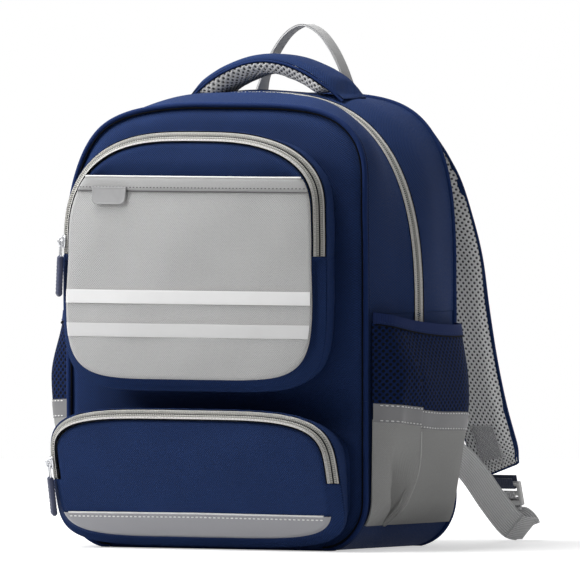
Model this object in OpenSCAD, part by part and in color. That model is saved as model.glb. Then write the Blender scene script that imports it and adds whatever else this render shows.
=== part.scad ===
// School backpack with two zipped front pockets, mesh side pockets, a padded handle and shoulder straps.
// Millimetres. X to the right seen from the front, Y to the back, Z up, floor at Z = 0.

/* [Body] */
// Width of the front and back panels
body_w = 295; // [280:1:312]
// Height of the bag at the main zip
body_h = 398; // [388:1:420]
// Depth between the front and back seams
body_d = 155; // [144:1:168]
// How far the sides stand out at the main zip
side_bulge = 12; // [8:1:16]
// How far the front panel ends below the top of the bag
front_drop = 12; // [8:1:14]
// Thickness of the padded walls
wall = 4; // [3:0.5:5]
// Radius of the bottom corners
base_r = 44; // [38:1:50]
// Height at which the side walls meet the zipped gusset
side_h = 206; // [200:1:214]
// Diameter of the piping along the seams
pipe_d = 4.4; // [3.6:0.2:5]
// Clearance between sewn pieces
seam_gap = 0.3; // [0.3:0.05:0.5]

/* [Lower pocket] */
// Width of the lower pocket across its zip
low_w = 288; // [270:1:296]
// Height of the lower pocket
low_h = 120; // [112:1:126]
// Height of the lower pocket above the floor
low_lift = 3; // [2:0.5:6]
// Depth of the lower pocket at its rim
low_d = 29.5; // [26:0.5:34]
// Forward lean of the lower pocket, run over rise
low_tilt = 0.28; // [0.2:0.02:0.32]
// Share of the lower pocket's height below its zip ends
low_fold = 0.47; // [0.42:0.01:0.5]
// Height of the reflective strip on the lower pocket
strip_h = 23; // [16:1:26]

/* [Upper pocket] */
// Width of the upper pocket across its zip
up_w = 264; // [246:1:276]
// Height of the upper pocket
up_h = 226; // [210:1:230]
// Depth of the upper pocket at its rim
up_d = 33; // [28:1:40]
// Share of the upper pocket's height below its zip ends
up_fold = 0.52; // [0.48:0.01:0.56]
// Height of the slip panel above the fold
slip_h = 68; // [56:1:74]
// Height of the slip panel's binding
bind_h = 11; // [8:1:13]
// Height of each reflective stripe
stripe_h = 12; // [9:1:15]
// Distance between the tops of the reflective stripes
stripe_pitch = 29; // [24:1:34]
// Depth of the upper stripe's top below the fold
stripe_drop = 30; // [24:1:36]
// Width of the blank label tab
tab_w = 34; // [26:1:40]
// Height of the blank label tab
tab_h = 15; // [11:1:18]

/* [Pocket faces] */
// Gap between the pockets along the fold of the front
pocket_gap = 15; // [13:1:18]
// Width of the sloped border between rim and face
border = 9.5; // [8.5:0.5:11]
// How far the face stands before the rim
face_step = 9; // [8:0.5:11]
// Extra rise of the face at its middle
face_rise = 4.5; // [3:0.5:6]
// Thickness of the pocket cloth
cloth = 3; // [2.4:0.2:3.4]
// Thickness of the flat trims
trim = 1.2; // [1:0.1:1.5]

/* [Zips] */
// Distance of the main zip before the middle of the depth
zip_fore = 4.5; // [3:0.5:7]
// Width of the main zip
zip_w = 15; // [12:0.5:17]
// Slit between the two coil halves
zip_slit = 1.2; // [1.1:0.05:1.4]
// Straight run of the main slider
main_run = 24; // [12:1:26]
// Straight run of the upper pocket's slider
up_run = 14; // [8:1:14]
// Straight run of the lower pocket's slider
low_run = 9; // [5:1:9]
// Length of a slider
slider_l = 12; // [10:0.5:13]
// Width of a slider
slider_w = 8; // [7:0.5:8.5]
// Length of a rubber grip
grip_l = 33; // [28:1:40]
// Width of a rubber grip
grip_w = 9; // [7:0.5:10]
// Thickness of a rubber grip
grip_t = 5; // [4:0.5:5.5]

/* [Side pockets] */
// Height of a side pocket's mouth at the front
side_top = 205; // [196:1:206]
// Height of a side pocket's lower edge
side_foot = 22; // [16:1:28]
// How far a side pocket stands out
side_out = 30; // [24:1:34]
// Height of the elastic band
band_h = 10; // [8:1:12]
// Height of the reflective strip of a side pocket
reflect_h = 16; // [12:1:18]
// Height of the strip's top above the lower edge at the front
reflect_top = 106; // [96:1:114]

/* [Handle and loop] */
// Span of the handle
handle_span = 151; // [140:1:160]
// Height of the handle above the bag
handle_h = 31; // [27:1:38]
// Width of the handle
handle_w = 48; // [40:1:52]
// Thickness of the handle
handle_t = 17; // [14:0.5:18]
// Span of the hang loop
loop_span = 88; // [76:1:98]
// Height of the hang loop above the back seam
loop_h = 57; // [46:1:66]
// Width of the hang loop's webbing
loop_w = 15; // [13:1:18]

/* [Shoulder straps] */
// Width of a strap at its upper part
strap_w = 64; // [56:1:70]
// Width of a strap at its lower end
strap_end_w = 46; // [40:1:50]
// Thickness of a strap's padded cover
strap_t = 8; // [6:0.5:9]
// Thickness of a strap's mesh face
mesh_t = 5; // [4:0.5:6]
// Distance of a strap's top end from the middle
strap_x = 62; // [56:1:68]
// Depth of a strap's top end below the top of the bag
strap_drop = 20; // [16:1:26]
// Height of a strap's lower end
strap_low = 57; // [52:1:64]
// How far a strap's anchor lies outside its top end
anchor_out = 56; // [52:1:60]
// How far an anchor tab stands behind the back
anchor_l = 20; // [16:1:24]
// Width of the adjusting webbing
web_w = 25; // [22:1:27]
// Thickness of the webbing
web_t = 1.6; // [1.2:0.1:1.8]
// Width of a ladder lock
lock_w = 36; // [33:1:40]
// Thickness of a ladder lock
lock_t = 4.4; // [4:0.2:5]

/* [Back] */
// Thickness of the back panel
back_t = 6; // [5:0.5:8]
// Thickness of the back pads
pad_t = 10; // [8:0.5:12]
// Height of the lumbar pad above the floor
lumbar_foot = 52; // [48:1:58]
// Height of the lumbar pad
lumbar_h = 70; // [60:1:76]
// Gap between the lumbar pad and the side pads
pad_gap = 10; // [6:1:14]
// Height of the side pads
pad_h = 198; // [180:1:206]
// Thickness of the stiffener boards
board_t = 1.6; // [1.2:0.2:2]

/* [Hidden] */
half_w = body_w / 2;
y_front = -body_d / 2;
y_back = body_d / 2;
panel_y = y_front - wall;
z_mid = 200;
arch_steps = 24;
leg_turn = 2;
n_front = 4.7;
n_zip = 2.7;
n_back = 3.9;
zip_y = -zip_fore;
zip_half = half_w + side_bulge + 1;
back_y1 = y_back + seam_gap + back_t;
// Distance of a panel edge inside the middle of its piping
lip = pipe_d / 2 + seam_gap + 0.1;

low_foot = low_lift;
low_z0 = low_foot + low_h * low_fold;
low_top = low_foot + low_h;
fold_z = low_top + pocket_gap / 2;
up_foot = low_top + pocket_gap;
up_z0 = up_foot + up_h * up_fold;
up_top = up_foot + up_h;

// Outline data of a pocket: half width, middle height, rise, its exponent, fall, its exponent, rim depth, tilt
low_pocket = [low_w / 2, low_z0, low_top - low_z0, 5, low_z0 - low_foot, 4, panel_y - low_d, -low_tilt];
up_pocket = [up_w / 2, up_z0, up_top - up_z0, 3, up_z0 - up_foot, 5.5, panel_y - up_d, 0];

slip_top = up_z0 + slip_h;
stripe_top = up_z0 - stripe_drop;
face_lip = 1.2;

function powc(v, e) = v < 0 ? -pow(-v, e) : pow(v, e);
function rev(l) = [for (i = [len(l) - 1:-1:0]) l[i]];
function mix(a, b, t) = a + (b - a) * t;
function ease(t) = t * t * (3 - 2 * t);

// Point of an arch with straight legs below its middle height
function arch(half, top, n, t, z0 = z_mid) =
  [half * powc(cos(t), 2 / n), z0 + (top - z0) * powc(sin(t), 2 / n)];

// Height of an arch at a distance from its middle
function arch_z(half, top, n, x, z0 = z_mid) =
  z0 + (top - z0) * pow(1 - pow(min(abs(x) / half, 1), n), 1 / n);

// Height of the edge of a pocket at a distance from its middle, above (s = 1) or below (s = -1) its fold
function edge_z(p, inset, x, s) =
  let (n = s > 0 ? p[3] : p[5], b = (s > 0 ? p[2] : p[4]) - inset)
  p[1] + s * b * pow(1 - pow(min(abs(x) / (p[0] - inset), 1), n), 1 / n);

// Point on the edge of a pocket, counted by angle
function edge_pt(p, inset, t) =
  let (up = sin(t) >= 0, n = up ? p[3] : p[5], b = (up ? p[2] : p[4]) - inset)
  [(p[0] - inset) * powc(cos(t), 2 / n), p[1] + b * powc(sin(t), 2 / n)];

// Change of a pocket's depth with height
function tilt(p, z) = p[7] * (z - p[1]);

// Depth of a pocket's front face
function face_y(p, x, z) =
  let (
    up = z >= p[1],
    n = up ? p[3] : p[5],
    b = (up ? p[2] : p[4]) - border,
    r = pow(pow(abs(x) / (p[0] - border), n) + pow(abs(z - p[1]) / b, n), 1 / n),
    edge = p[6] - face_step + tilt(p, z)
  )
  r <= 1 ? edge - face_rise * (1 - r * r)
         : edge + (face_step - face_lip) * min((r - 1) * (p[0] - border) / border, 1);

function volume6(p, f) =
  [for (t = f) p[t[0]] * cross(p[t[1]], p[t[2]])] * [for (t = f) 1];

// Solid through a row of rings; each ring is a list of outer points followed by the inner ones backwards
module skin(rings, closed = false) {
  m = len(rings[0]);
  r = len(rings);
  pts = [for (ring = rings) each ring];
  last = closed ? r - 1 : r - 2;
  sides = [
    for (i = [0:last], j = [0:m - 1])
      let (a = i * m + j, b = i * m + (j + 1) % m, k = (i + 1) % r * m)
      each [[a, b, k + (j + 1) % m], [a, k + (j + 1) % m, k + j]]
  ];
  first_cap = [
    for (k = [0:m / 2 - 2])
      each [[k, m - 1 - k, m - 2 - k], [k, m - 2 - k, k + 1]]
  ];
  end = (r - 1) * m;
  last_cap = [for (t = first_cap) [end + t[0], end + t[2], end + t[1]]];
  faces = closed ? sides : concat(sides, first_cap, last_cap);
  polyhedron(pts, volume6(pts, faces) < 0 ? faces : [for (f = faces) rev(f)]);
}

// Thin sheet over a grid of columns; front and back are functions of the column and row given as point lists
module sheet(front, back) {
  skin([for (i = [0:len(front) - 1]) concat(front[i], rev(back[i]))]);
}

// Positions of columns across a width, closer together towards the edges
function columns(n, reach) = [for (i = [0:n]) reach * sin(-90 + 180 * i / n)];

// Plate standing in the XZ plane, its front face at depth y
module upright(y, t) {
  translate([0, y + t, 0])
    rotate([90, 0, 0])
      linear_extrude(t)
        children();
}

// Band of the shell between depths; each station is [depth, half width, top, exponent]
module band(stations, z_low, t) {
  function at(st, off, k) = let (p = arch(st[1] - off, st[2] - off, st[3], k)) [p[0], st[0], max(p[1], z_low)];
  rings = [
    for (i = [0:arch_steps])
      let (k = mix(leg_turn, 180 - leg_turn, ease(i / arch_steps)))
      concat([for (st = stations) at(st, 0, k)], rev([for (st = stations) at(st, t, k)]))
  ];
  foot = [
    for (s = [1, -1])
      concat(
        [for (st = stations) [s * st[1], st[0], z_low]],
        rev([for (st = stations) [s * (st[1] - t), st[0], z_low]])
      )
  ];
  skin(concat([foot[0]], rings, [foot[1]]));
}

function panel_points(half, top, n, r, foot, steps) = concat(
  [for (i = [0:steps]) arch(half, top, n, 180 * i / steps)],
  [for (i = [0:6]) [-half + r - r * cos(90 * i / 6), foot + r - r * sin(90 * i / 6)]],
  [for (i = [0:6]) [half - r + r * sin(90 * i / 6), foot + r - r * cos(90 * i / 6)]]
);

module panel_outline(half, top, n, r, foot = 0) {
  polygon(panel_points(half, top, n, r, foot, 36));
}

// Widening of the shell at the main zip, growing from the floor to the side seam
function wall_half(z) = half_w + (zip_half - half_w) * pow(min(z / side_h, 1), 1.3);

// Depths along a side wall and the share of the widening at each
depths = [y_front + seam_gap, mix(y_front, zip_y, 0.5), zip_y, mix(zip_y, y_back, 0.5), y_back];
fill = [0, 0.72, 1, 0.8, 0];
fill_at = [for (k = [0:4]) [depths[k], fill[k]]];

// Side wall from the side seam down and round the bottom corner; s = 1 is the right one
module side_wall(s) {
  zs = [for (k = [0:4]) mix(side_h - seam_gap, base_r * 1.7, k / 4)];
  function out(k, z) = mix(half_w, wall_half(z), fill[k]);
  function corner(s, k, r, a) =
    [s * (half_w - base_r + (r + out(k, base_r) - half_w) * cos(a)), depths[k], base_r - r * sin(a)];
  leg = [
    for (z = zs)
      concat(
        [for (k = [0:4]) [s * out(k, z), depths[k], z]],
        rev([for (k = [0:4]) [s * (out(k, z) - wall), depths[k], z]])
      )
  ];
  turn = [
    for (i = [0:6])
      let (a = 90 * i / 6)
      concat(
        [for (k = [0:4]) corner(s, k, base_r, a)],
        rev([for (k = [0:4]) corner(s, k, base_r - wall, a)])
      )
  ];
  skin(concat(leg, turn));
}

module back_panel() {
  color("#1b2a5c")
    upright(y_back + seam_gap, back_t)
      panel_outline(half_w - lip, body_h - 2 - lip, n_back, base_r - lip, lip);
}

module back_board() {
  inset = wall + 6;
  color("#d8d8d8")
    upright(y_back - board_t, board_t)
      panel_outline(half_w - inset, body_h - 2 - inset, n_back, base_r - inset, inset);
}

// Rounded pad on the back panel between two heights
module back_pad(x, w, z0, z1) {
  r = 16;
  step = 4;
  function ring(inset, y) = [
    for (q = [[1, 1], [-1, 1], [-1, -1], [1, -1]])
      for (i = [0:3])
        let (
          a = (q == [1, 1] ? 0 : q == [-1, 1] ? 90 : q == [-1, -1] ? 180 : 270) + 30 * i,
          e = r - inset
        )
        [x + q[0] * (w / 2 - r) + e * cos(a), y, (z0 + z1) / 2 + q[1] * ((z1 - z0) / 2 - r) + e * sin(a)]
  ];
  y0 = back_y1 + seam_gap;
  skin([ring(0, y0), ring(0, y0 + pad_t - step), ring(step, y0 + pad_t)]);
}

pad_w = half_w * 0.62;
pad_x = half_w * 0.44;
pad_foot = lumbar_foot + lumbar_h + pad_gap;

module back_pads() {
  color("#26345f") {
    back_pad(pad_x, pad_w, pad_foot, pad_foot + pad_h);
    back_pad(-pad_x, pad_w, pad_foot, pad_foot + pad_h);
    back_pad(0, 2 * pad_x + pad_w, lumbar_foot, lumbar_foot + lumbar_h);
  }
}

mid_rear = [mix(zip_y, y_back, 0.45), zip_half - 2, body_h, 3.2];

module rear_gusset() {
  color("#22356b")
    band([
      [zip_y + zip_w / 2, zip_half, body_h, n_zip],
      mid_rear,
      [y_back, half_w + 1, body_h - 2, n_back]
    ], side_h, wall);
}

module front_gusset() {
  color("#22356b")
    band([
      [y_front + seam_gap, half_w, body_h - front_drop, n_front],
      [mix(y_front, zip_y, 0.45), mix(half_w, zip_half, 0.6), body_h - front_drop * 0.4, 3.6],
      [zip_y - zip_w / 2, zip_half, body_h, n_zip]
    ], side_h, wall);
}

module side_wall_left() {
  color("#22356b") side_wall(-1);
}

module side_wall_right() {
  color("#22356b") side_wall(1);
}

module base_panel() {
  w = half_w - base_r - seam_gap;
  color("#1b2a5c")
    translate([-w, y_front + seam_gap, 0])
      cube([2 * w, body_d - 2 * seam_gap, wall]);
}

module base_board() {
  w = half_w - base_r - seam_gap;
  color("#d8d8d8")
    translate([-w, y_front + 6, wall + seam_gap])
      cube([2 * w, body_d - 12, board_t]);
}

module front_part(z0, z1) {
  upright(panel_y, wall)
    intersection() {
      panel_outline(half_w - lip, body_h - front_drop - lip, n_front, base_r - lip, lip);
      translate([-half_w - 1, z0]) square([body_w + 2, z1 - z0]);
    }
}

module front_panel_lower() {
  color("#22356b") front_part(0, fold_z - seam_gap);
}

module front_panel_upper() {
  color("#22356b") front_part(fold_z + seam_gap, body_h);
}

// Points round the middle of a seam pipe
pipe_low = 64;
function pipe_corner(s, i) =
  let (a = pipe_low * i / 5)
  [s * (half_w - base_r + base_r * cos(a)), base_r - base_r * sin(a)];

// Pipe along a flat line of points in an upright plane at depth y
module pipe(line, y) {
  last = len(line) - 1;
  rings = [
    for (i = [0:last])
      let (
        a = line[max(i - 1, 0)],
        b = line[min(i + 1, last)],
        d = (b - a) / norm(b - a),
        r = pipe_d / 2
      )
      [for (k = [0:5]) let (c = cos(60 * k), e = sin(60 * k))
        [line[i][0] + d[1] * r * c, y + r * e, line[i][1] - d[0] * r * c]]
  ];
  skin(rings);
}

module front_piping_upper() {
  legs = [[half_w, fold_z + seam_gap]];
  arc = [for (i = [0:32]) arch(half_w, body_h - front_drop, n_front, 180 * i / 32)];
  color("#16224c")
    pipe(concat(legs, arc, [[-legs[0][0], legs[0][1]]]), y_front - wall / 2 - 0.2);
}

module front_piping_lower() {
  color("#16224c")
    for (s = [1, -1])
      pipe(concat([[s * half_w, fold_z - seam_gap]], [for (i = [0:5]) pipe_corner(s, i)]),
        y_front - wall / 2 - 0.2);
}

module back_piping() {
  right = [for (i = [5:-1:0]) pipe_corner(1, i)];
  left = [for (i = [0:5]) pipe_corner(-1, i)];
  arc = [for (i = [0:32]) arch(half_w, body_h - 2, n_back, 180 * i / 32)];
  color("#16224c")
    pipe(concat(right, arc, left), y_back + seam_gap + back_t / 2);
}

tape_t = 1.2;
coil_h = 1.2;
coil_w = 1.4;

// Profile of one zip half: across the zip from its outer edge e to the slit, out from the surface
function zip_profile(e, s) =
  let (c0 = zip_slit / 2, c1 = c0 + coil_w, c2 = c1 + 0.1)
  [
    [s * e, -tape_t], [s * c2, -tape_t], [s * c1, -tape_t], [s * c0, -tape_t],
    [s * c0, coil_h], [s * c1, coil_h], [s * c2, 0], [s * e, 0]
  ];

module main_tape(s) {
  profile = zip_profile(zip_w / 2 - seam_gap, s);
  function ring(k) = [for (q = profile)
    let (p = arch(zip_half + q[1], body_h + q[1], n_zip, k)) [p[0], zip_y + q[0], max(p[1], side_h)]];
  foot = [for (c = [1, -1]) [for (q = profile) [c * (zip_half + q[1]), zip_y + q[0], side_h]]];
  skin(concat([foot[0]], [for (i = [0:arch_steps]) ring(mix(leg_turn, 180 - leg_turn, ease(i / arch_steps)))], [foot[1]]));
}

module main_zip_rear() {
  color("#c8c8c8") main_tape(1);
}

module main_zip_front() {
  color("#c8c8c8") main_tape(-1);
}

// Zip half along the sloped border above a pocket's fold, between two angles; s = -1 lies at the rim, 1 at the face
module pocket_tape(p, s, t0, t1, steps = arch_steps) {
  slope = sqrt(border * border + face_step * face_step);
  rim_edge = (slope * (face_step / 2 - seam_gap) - tape_t * border) / face_step;
  profile = zip_profile(s < 0 ? rim_edge : slope / 2 - seam_gap, s);
  mid_y = p[6] - face_step / 2;
  function ring(t) = [for (q = profile)
    let (
      inset = border / 2 + (q[0] * border - q[1] * face_step) / slope,
      e = edge_pt(p, inset, t),
      z = max(e[1], p[1] + seam_gap)
    )
    [e[0], mid_y + tilt(p, z) - (q[0] * face_step + q[1] * border) / slope, z]];
  skin([for (i = [0:steps]) ring(mix(t0, t1, ease(i / steps)))]);
}

// Angle of the left leg of a pocket's zip at a height
function leg_angle(p, z) = 180 - asin(pow((z - p[1]) / (p[2] - border / 2), p[3] / 2));

// Fixed half of a pocket's zip, with the stretch of the other half that stays closed below the slider's stop
module fixed_tapes(p, stop) {
  pocket_tape(p, -1, 0, 180);
  pocket_tape(p, 1, leg_angle(p, stop - 1), 180, 6);
}

module folding_tape(p, stop) {
  pocket_tape(p, 1, 0, leg_angle(p, stop));
}

// Band round a pocket from the front panel to its rim
module pocket_gusset(p) {
  steps = 44;
  tuck = 11;
  y0 = panel_y - seam_gap;
  stations = [[y0, tuck, 0], [mix(y0, p[6], 0.5), 3, 0.5], [p[6], 0, 1]];
  function on_band(st, inset, t) = let (e = edge_pt(p, st[1] + inset, t)) [e[0], st[0] + st[2] * tilt(p, e[1]), e[1]];
  rings = [
    for (i = [0:steps - 1])
      let (t = 360 * i / steps)
      concat(
        [for (st = stations) on_band(st, 0, t)],
        rev([for (st = stations) on_band(st, cloth, t)])
      )
  ];
  skin(rings, closed = true);
}

// Sheet over the face of a pocket from z_from(x) to z_to(x), standing before it by lift
module face_sheet(p, xs, lows, highs, lift, t, rows = 6) {
  front = [for (i = [0:len(xs) - 1]) [for (j = [0:rows])
    let (z = mix(lows[i], highs[i], sin(90 * j / rows)))
    [xs[i], face_y(p, xs[i], z) - lift - t, z]]];
  back = [for (c = front) [for (q = c) [q[0], min(q[1] + t, p[6] + tilt(p, q[2]) - seam_gap), q[2]]]];
  sheet(front, back);
}

reach = 0.994;
face_cols = 16;

module fixed_face(p) {
  xs = columns(face_cols, p[0] * reach);
  face_sheet(p, xs, [for (x = xs) p[1] - seam_gap], [for (x = xs) edge_z(p, 0, x, -1)], seam_gap - cloth, cloth, 9);
}

module folding_face(p) {
  inset = border + tape_t + seam_gap;
  xs = columns(face_cols, (p[0] - inset) * reach);
  face_sheet(p, xs, [for (x = xs) p[1] + seam_gap], [for (x = xs) edge_z(p, inset, x, 1)], seam_gap - cloth, cloth);
}

module lower_pocket_gusset() {
  color("#22356b") pocket_gusset(low_pocket);
}

module lower_pocket_face() {
  color("#22356b") fixed_face(low_pocket);
}

module lower_pocket_flap() {
  color("#22356b") folding_face(low_pocket);
}

module lower_zip_outer() {
  color("#c8c8c8") fixed_tapes(low_pocket, low_stop);
}

module lower_zip_inner() {
  color("#c8c8c8") folding_tape(low_pocket, low_stop);
}

module lower_pocket_strip() {
  inset = border + 1;
  xs = columns(face_cols, (low_pocket[0] - inset) * 0.93);
  foot = [for (x = xs) edge_z(low_pocket, inset, x, -1)];
  color("#a0a0a4")
    face_sheet(low_pocket, xs, [for (z = foot) max(low_foot + border + strip_h, z + 2)], foot,
      2 * seam_gap, trim, 8);
}

module upper_pocket_gusset() {
  color("#22356b") pocket_gusset(up_pocket);
}

module upper_pocket_face() {
  color("#22356b") fixed_face(up_pocket);
}

module upper_pocket_flap() {
  color("#22356b") folding_face(up_pocket);
}

module upper_zip_outer() {
  color("#c8c8c8") fixed_tapes(up_pocket, up_stop);
}

module upper_zip_inner() {
  color("#c8c8c8") folding_tape(up_pocket, up_stop);
}

slip_inset = border + tape_t + 2 * seam_gap;

module slip_panel_lower() {
  xs = columns(face_cols, (up_pocket[0] - slip_inset) * reach);
  color("#bfbfbf")
    face_sheet(up_pocket, xs, [for (x = xs) up_z0 - seam_gap], [for (x = xs) edge_z(up_pocket, slip_inset, x, -1)],
      seam_gap * 2, trim);
}

module slip_panel_upper() {
  xs = columns(face_cols, (up_pocket[0] - slip_inset) * reach);
  color("#bfbfbf")
    face_sheet(up_pocket, xs, [for (x = xs) up_z0 + seam_gap],
      [for (x = xs) min(edge_z(up_pocket, slip_inset, x, 1), slip_top)], seam_gap * 2, trim);
}

slip_reach = (up_pocket[0] - slip_inset)
  * pow(1 - pow(slip_h / (up_pocket[2] - slip_inset), up_pocket[3]), 1 / up_pocket[3]) - 1;

// Flat trim across the slip panel between two heights
module slip_trim(half, z0, z1, lift, t) {
  xs = columns(14, half);
  face_sheet(up_pocket, xs, [for (x = xs) z0], [for (x = xs) z1], lift, t, 2);
}

module slip_binding() {
  color("#cfcfcf") slip_trim(slip_reach, slip_top - bind_h, slip_top, seam_gap * 3 + trim, trim);
}

module reflective_stripes() {
  half = (up_pocket[0] - slip_inset) * 0.985;
  color("#f0f0f0")
    for (k = [0, 1])
      let (z = stripe_top - k * stripe_pitch)
      slip_trim(half, z - stripe_h, z, seam_gap * 3 + trim, trim);
}

module label_tab() {
  x = -slip_reach * 0.775;
  top = slip_top - bind_h - seam_gap;
  r = 4;
  z = top - tab_h / 2;
  color("#c4c4c8")
    upright(face_y(up_pocket, x + tab_w / 2, z - tab_h / 2) - seam_gap * 4 - 2 * trim, trim)
      translate([x, z])
        union() {
          translate([-tab_w / 2, r - tab_h / 2]) square([tab_w, tab_h - r]);
          translate([-tab_w / 2 + r, -tab_h / 2]) square([tab_w - 2 * r, r]);
          translate([tab_w / 2 - r, r - tab_h / 2]) circle(r, $fn = 20);
          translate([r - tab_w / 2, r - tab_h / 2]) circle(r, $fn = 20);
        }
}

// Side pocket: outer face, its edges and its patches; s = 1 is the right one
side_y0 = y_front + 2;
side_y1 = y_back - 2;
side_t = 1.8;
function swell(z) =
  let (v = (z - side_foot) / (side_top - side_foot)) pow(sin(min(max(v, 0), 1) * 122), 0.62);
function wall_x(y, z) =
  let (q = max(base_r - z, 0))
  half_w - base_r + sqrt(base_r * base_r - q * q) + (wall_half(max(z, base_r)) - half_w) * lookup(y, fill_at);
function side_x(y, z) =
  let (u = (2 * y - side_y0 - side_y1) / (side_y1 - side_y0))
  wall_x(y, z) + side_t + seam_gap
  + side_out * (1 - pow(abs(u), 7)) * swell(z) * (1 - 0.35 * lookup(y, fill_at) * z / side_h);
function side_line(y, front, back, sag) =
  let (v = (y - side_y0) / (side_y1 - side_y0)) mix(front, back, v) - sag * sin(180 * v);
function mouth(y) = side_line(y, side_top, side_top - 8, 5);
function strip_line(y) = side_line(y, side_foot + reflect_top, side_foot + reflect_top - 11, 1);

side_cols = 12;
side_ys = [for (i = [0:side_cols]) mix(side_y0, side_y1, (1 - cos(180 * i / side_cols)) / 2)];

module side_patch(s, lows, highs, lift, t, rows) {
  outer = [for (i = [0:side_cols]) [for (j = [0:rows])
    let (z = mix(lows[i], highs[i], j / rows)) [s * (side_x(side_ys[i], z) + lift), side_ys[i], z]]];
  inner = [for (c = outer) [for (q = c) [q[0] - s * t, q[1], q[2]]]];
  sheet(outer, inner);
}

module side_mesh(s) {
  lows = [for (y = side_ys) strip_line(y) + seam_gap];
  highs = [for (y = side_ys) mouth(y) - band_h - seam_gap];
  color("#1a2756") side_patch(s, lows, highs, 0, side_t, 5);
}

module side_mesh_left() {
  side_mesh(-1);
}

module side_mesh_right() {
  side_mesh(1);
}

module side_bands() {
  color("#22356b")
    for (s = [-1, 1])
      side_patch(s, [for (y = side_ys) mouth(y) - band_h], [for (y = side_ys) mouth(y)], 0.6, side_t + 0.6, 2);
}

module side_strips() {
  color("#8b8b90")
    for (s = [-1, 1])
      side_patch(s, [for (y = side_ys) strip_line(y) - reflect_h], [for (y = side_ys) strip_line(y)], 0.4, side_t + 0.4, 2);
}

module side_lowers() {
  color("#8d8d8d")
    for (s = [-1, 1])
      side_patch(s, [for (y = side_ys) side_foot], [for (y = side_ys) strip_line(y) - reflect_h - seam_gap], 0, side_t, 7);
}

// Handle: an arch of two layers standing on the rear gusset
handle_y0 = zip_y + zip_w / 2 + 1.3;
handle_y1 = handle_y0 + handle_w;
handle_half = handle_span / 2;
function bag_top(x) = arch_z(mid_rear[1], mid_rear[2], mid_rear[3], x);
handle_foot = bag_top(handle_half);
handle_top = body_h + handle_h;
handle_rise = handle_top - handle_foot;
handle_r = (handle_half * handle_half + handle_rise * handle_rise) / (2 * handle_rise);
handle_cz = handle_top - handle_r;

// Angle at which a layer of the handle meets the bag
function layer_angle(r) = acos(min((mix(body_h, handle_foot, 0.35) - handle_cz) / r, 1));

module handle_layer(r_out, r_in) {
  steps = 14;
  end_out = r_out == handle_r ? asin(handle_half / handle_r) : layer_angle(r_out);
  end_in = layer_angle(r_in);
  function on_bag(x) = bag_top(x) + 2 * seam_gap;
  function at(r, a) =
    let (x = r * sin(a), z = handle_cz + r * cos(a)) [x, max(z, on_bag(x))];
  rings = [
    for (i = [0:steps])
      let (k = -1 + 2 * i / steps, o = at(r_out, end_out * k), n = at(r_in, end_in * k))
      [[o[0], handle_y0, o[1]], [o[0], handle_y1, o[1]], [n[0], handle_y1, n[1]], [n[0], handle_y0, n[1]]]
  ];
  skin(rings);
}

handle_split = handle_r - handle_t * 0.52;

module handle_cover() {
  color("#22356b") handle_layer(handle_r, handle_split + seam_gap / 2);
}

module handle_mesh() {
  color("#9a9a9a") handle_layer(handle_split - seam_gap / 2, handle_r - handle_t);
}

loop_t = 2;
loop_y = y_back + seam_gap + back_t / 2 - 3;

module hang_loop() {
  foot = body_h - 2 + pipe_d / 2 + seam_gap;
  rise = loop_h - (foot - body_h);
  rings = [
    for (i = [0:20])
      let (a = 180 * i / 20, c = cos(a), e = sin(a), x = loop_span / 2)
      [
        [x * c, loop_y - loop_w / 2, foot + rise * e],
        [x * c, loop_y + loop_w / 2, foot + rise * e],
        [(x - loop_t) * c, loop_y + loop_w / 2, foot + (rise - loop_t) * e],
        [(x - loop_t) * c, loop_y - loop_w / 2, foot + (rise - loop_t) * e]
      ]
  ];
  color("#b5b5b5") skin(rings);
}

// Shoulder strap: middle line as [distance behind the back panel, share of the way down, shift outwards]
strap_run = [
  [2.8, 0, 0], [24, 0.022, 4], [47, 0.084, 10], [66, 0.1745, 16], [80, 0.28, 20], [95, 0.399, 24],
  [106, 0.539, 28], [115, 0.679, 33], [124, 0.804, 39], [134, 0.903, 45], [145, 1, 49]
];
strap_line = [for (q = strap_run) [q[0], mix(body_h - strap_drop, strap_low, q[1]), q[2]]];
strap_ends = len(strap_line) - 1;
function strap_dir(i) =
  let (a = strap_line[max(i - 1, 0)], b = strap_line[min(i + 1, strap_ends)], d = [b[0] - a[0], b[1] - a[1]])
  d / norm(d);
function strap_half(i) = mix(strap_w, strap_end_w, pow(max(i - 4, 0) / (strap_ends - 4), 1.4)) / 2;

// One layer of a strap between two distances out from its middle line
module strap_layer(s, n0, n1, slim) {
  rings = [
    for (i = [0:strap_ends])
      let (
        p = strap_line[i],
        d = strap_dir(i),
        y = back_y1 + p[0],
        c = strap_x + p[2],
        h = strap_half(i) - slim
      )
      [
        [s * (c - h), y - d[1] * n0, p[1] + d[0] * n0],
        [s * (c + h), y - d[1] * n0, p[1] + d[0] * n0],
        [s * (c + h), y - d[1] * n1, p[1] + d[0] * n1],
        [s * (c - h), y - d[1] * n1, p[1] + d[0] * n1]
      ]
  ];
  skin(rings);
}

module strap_cover(s) {
  color("#22356b") strap_layer(s, -1 + seam_gap, strap_t - 1, 0);
}

module strap_mesh(s) {
  color("#9a9a9a") strap_layer(s, -1 - mesh_t, -1, 2);
}

module strap_cover_left() {
  strap_cover(-1);
}

module strap_cover_right() {
  strap_cover(1);
}

module strap_mesh_left() {
  strap_mesh(-1);
}

module strap_mesh_right() {
  strap_mesh(1);
}

// Frame at the lower end of a strap: Z runs on along the strap, Y away from the bag
end_dir = strap_dir(strap_ends);
module at_strap_end(s) {
  p = strap_line[strap_ends];
  translate([s * (strap_x + p[2]), back_y1 + p[0], p[1]])
    rotate([acos(-end_dir[1]) + 180, 0, 0])
      mirror([0, 1, 0])
        children();
}

lock_gap = 5;
bar = 4;
slot = web_t * 2 + 1.6;
bars = 3;
lock_l = bar * bars + slot * (bars - 1);

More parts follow.
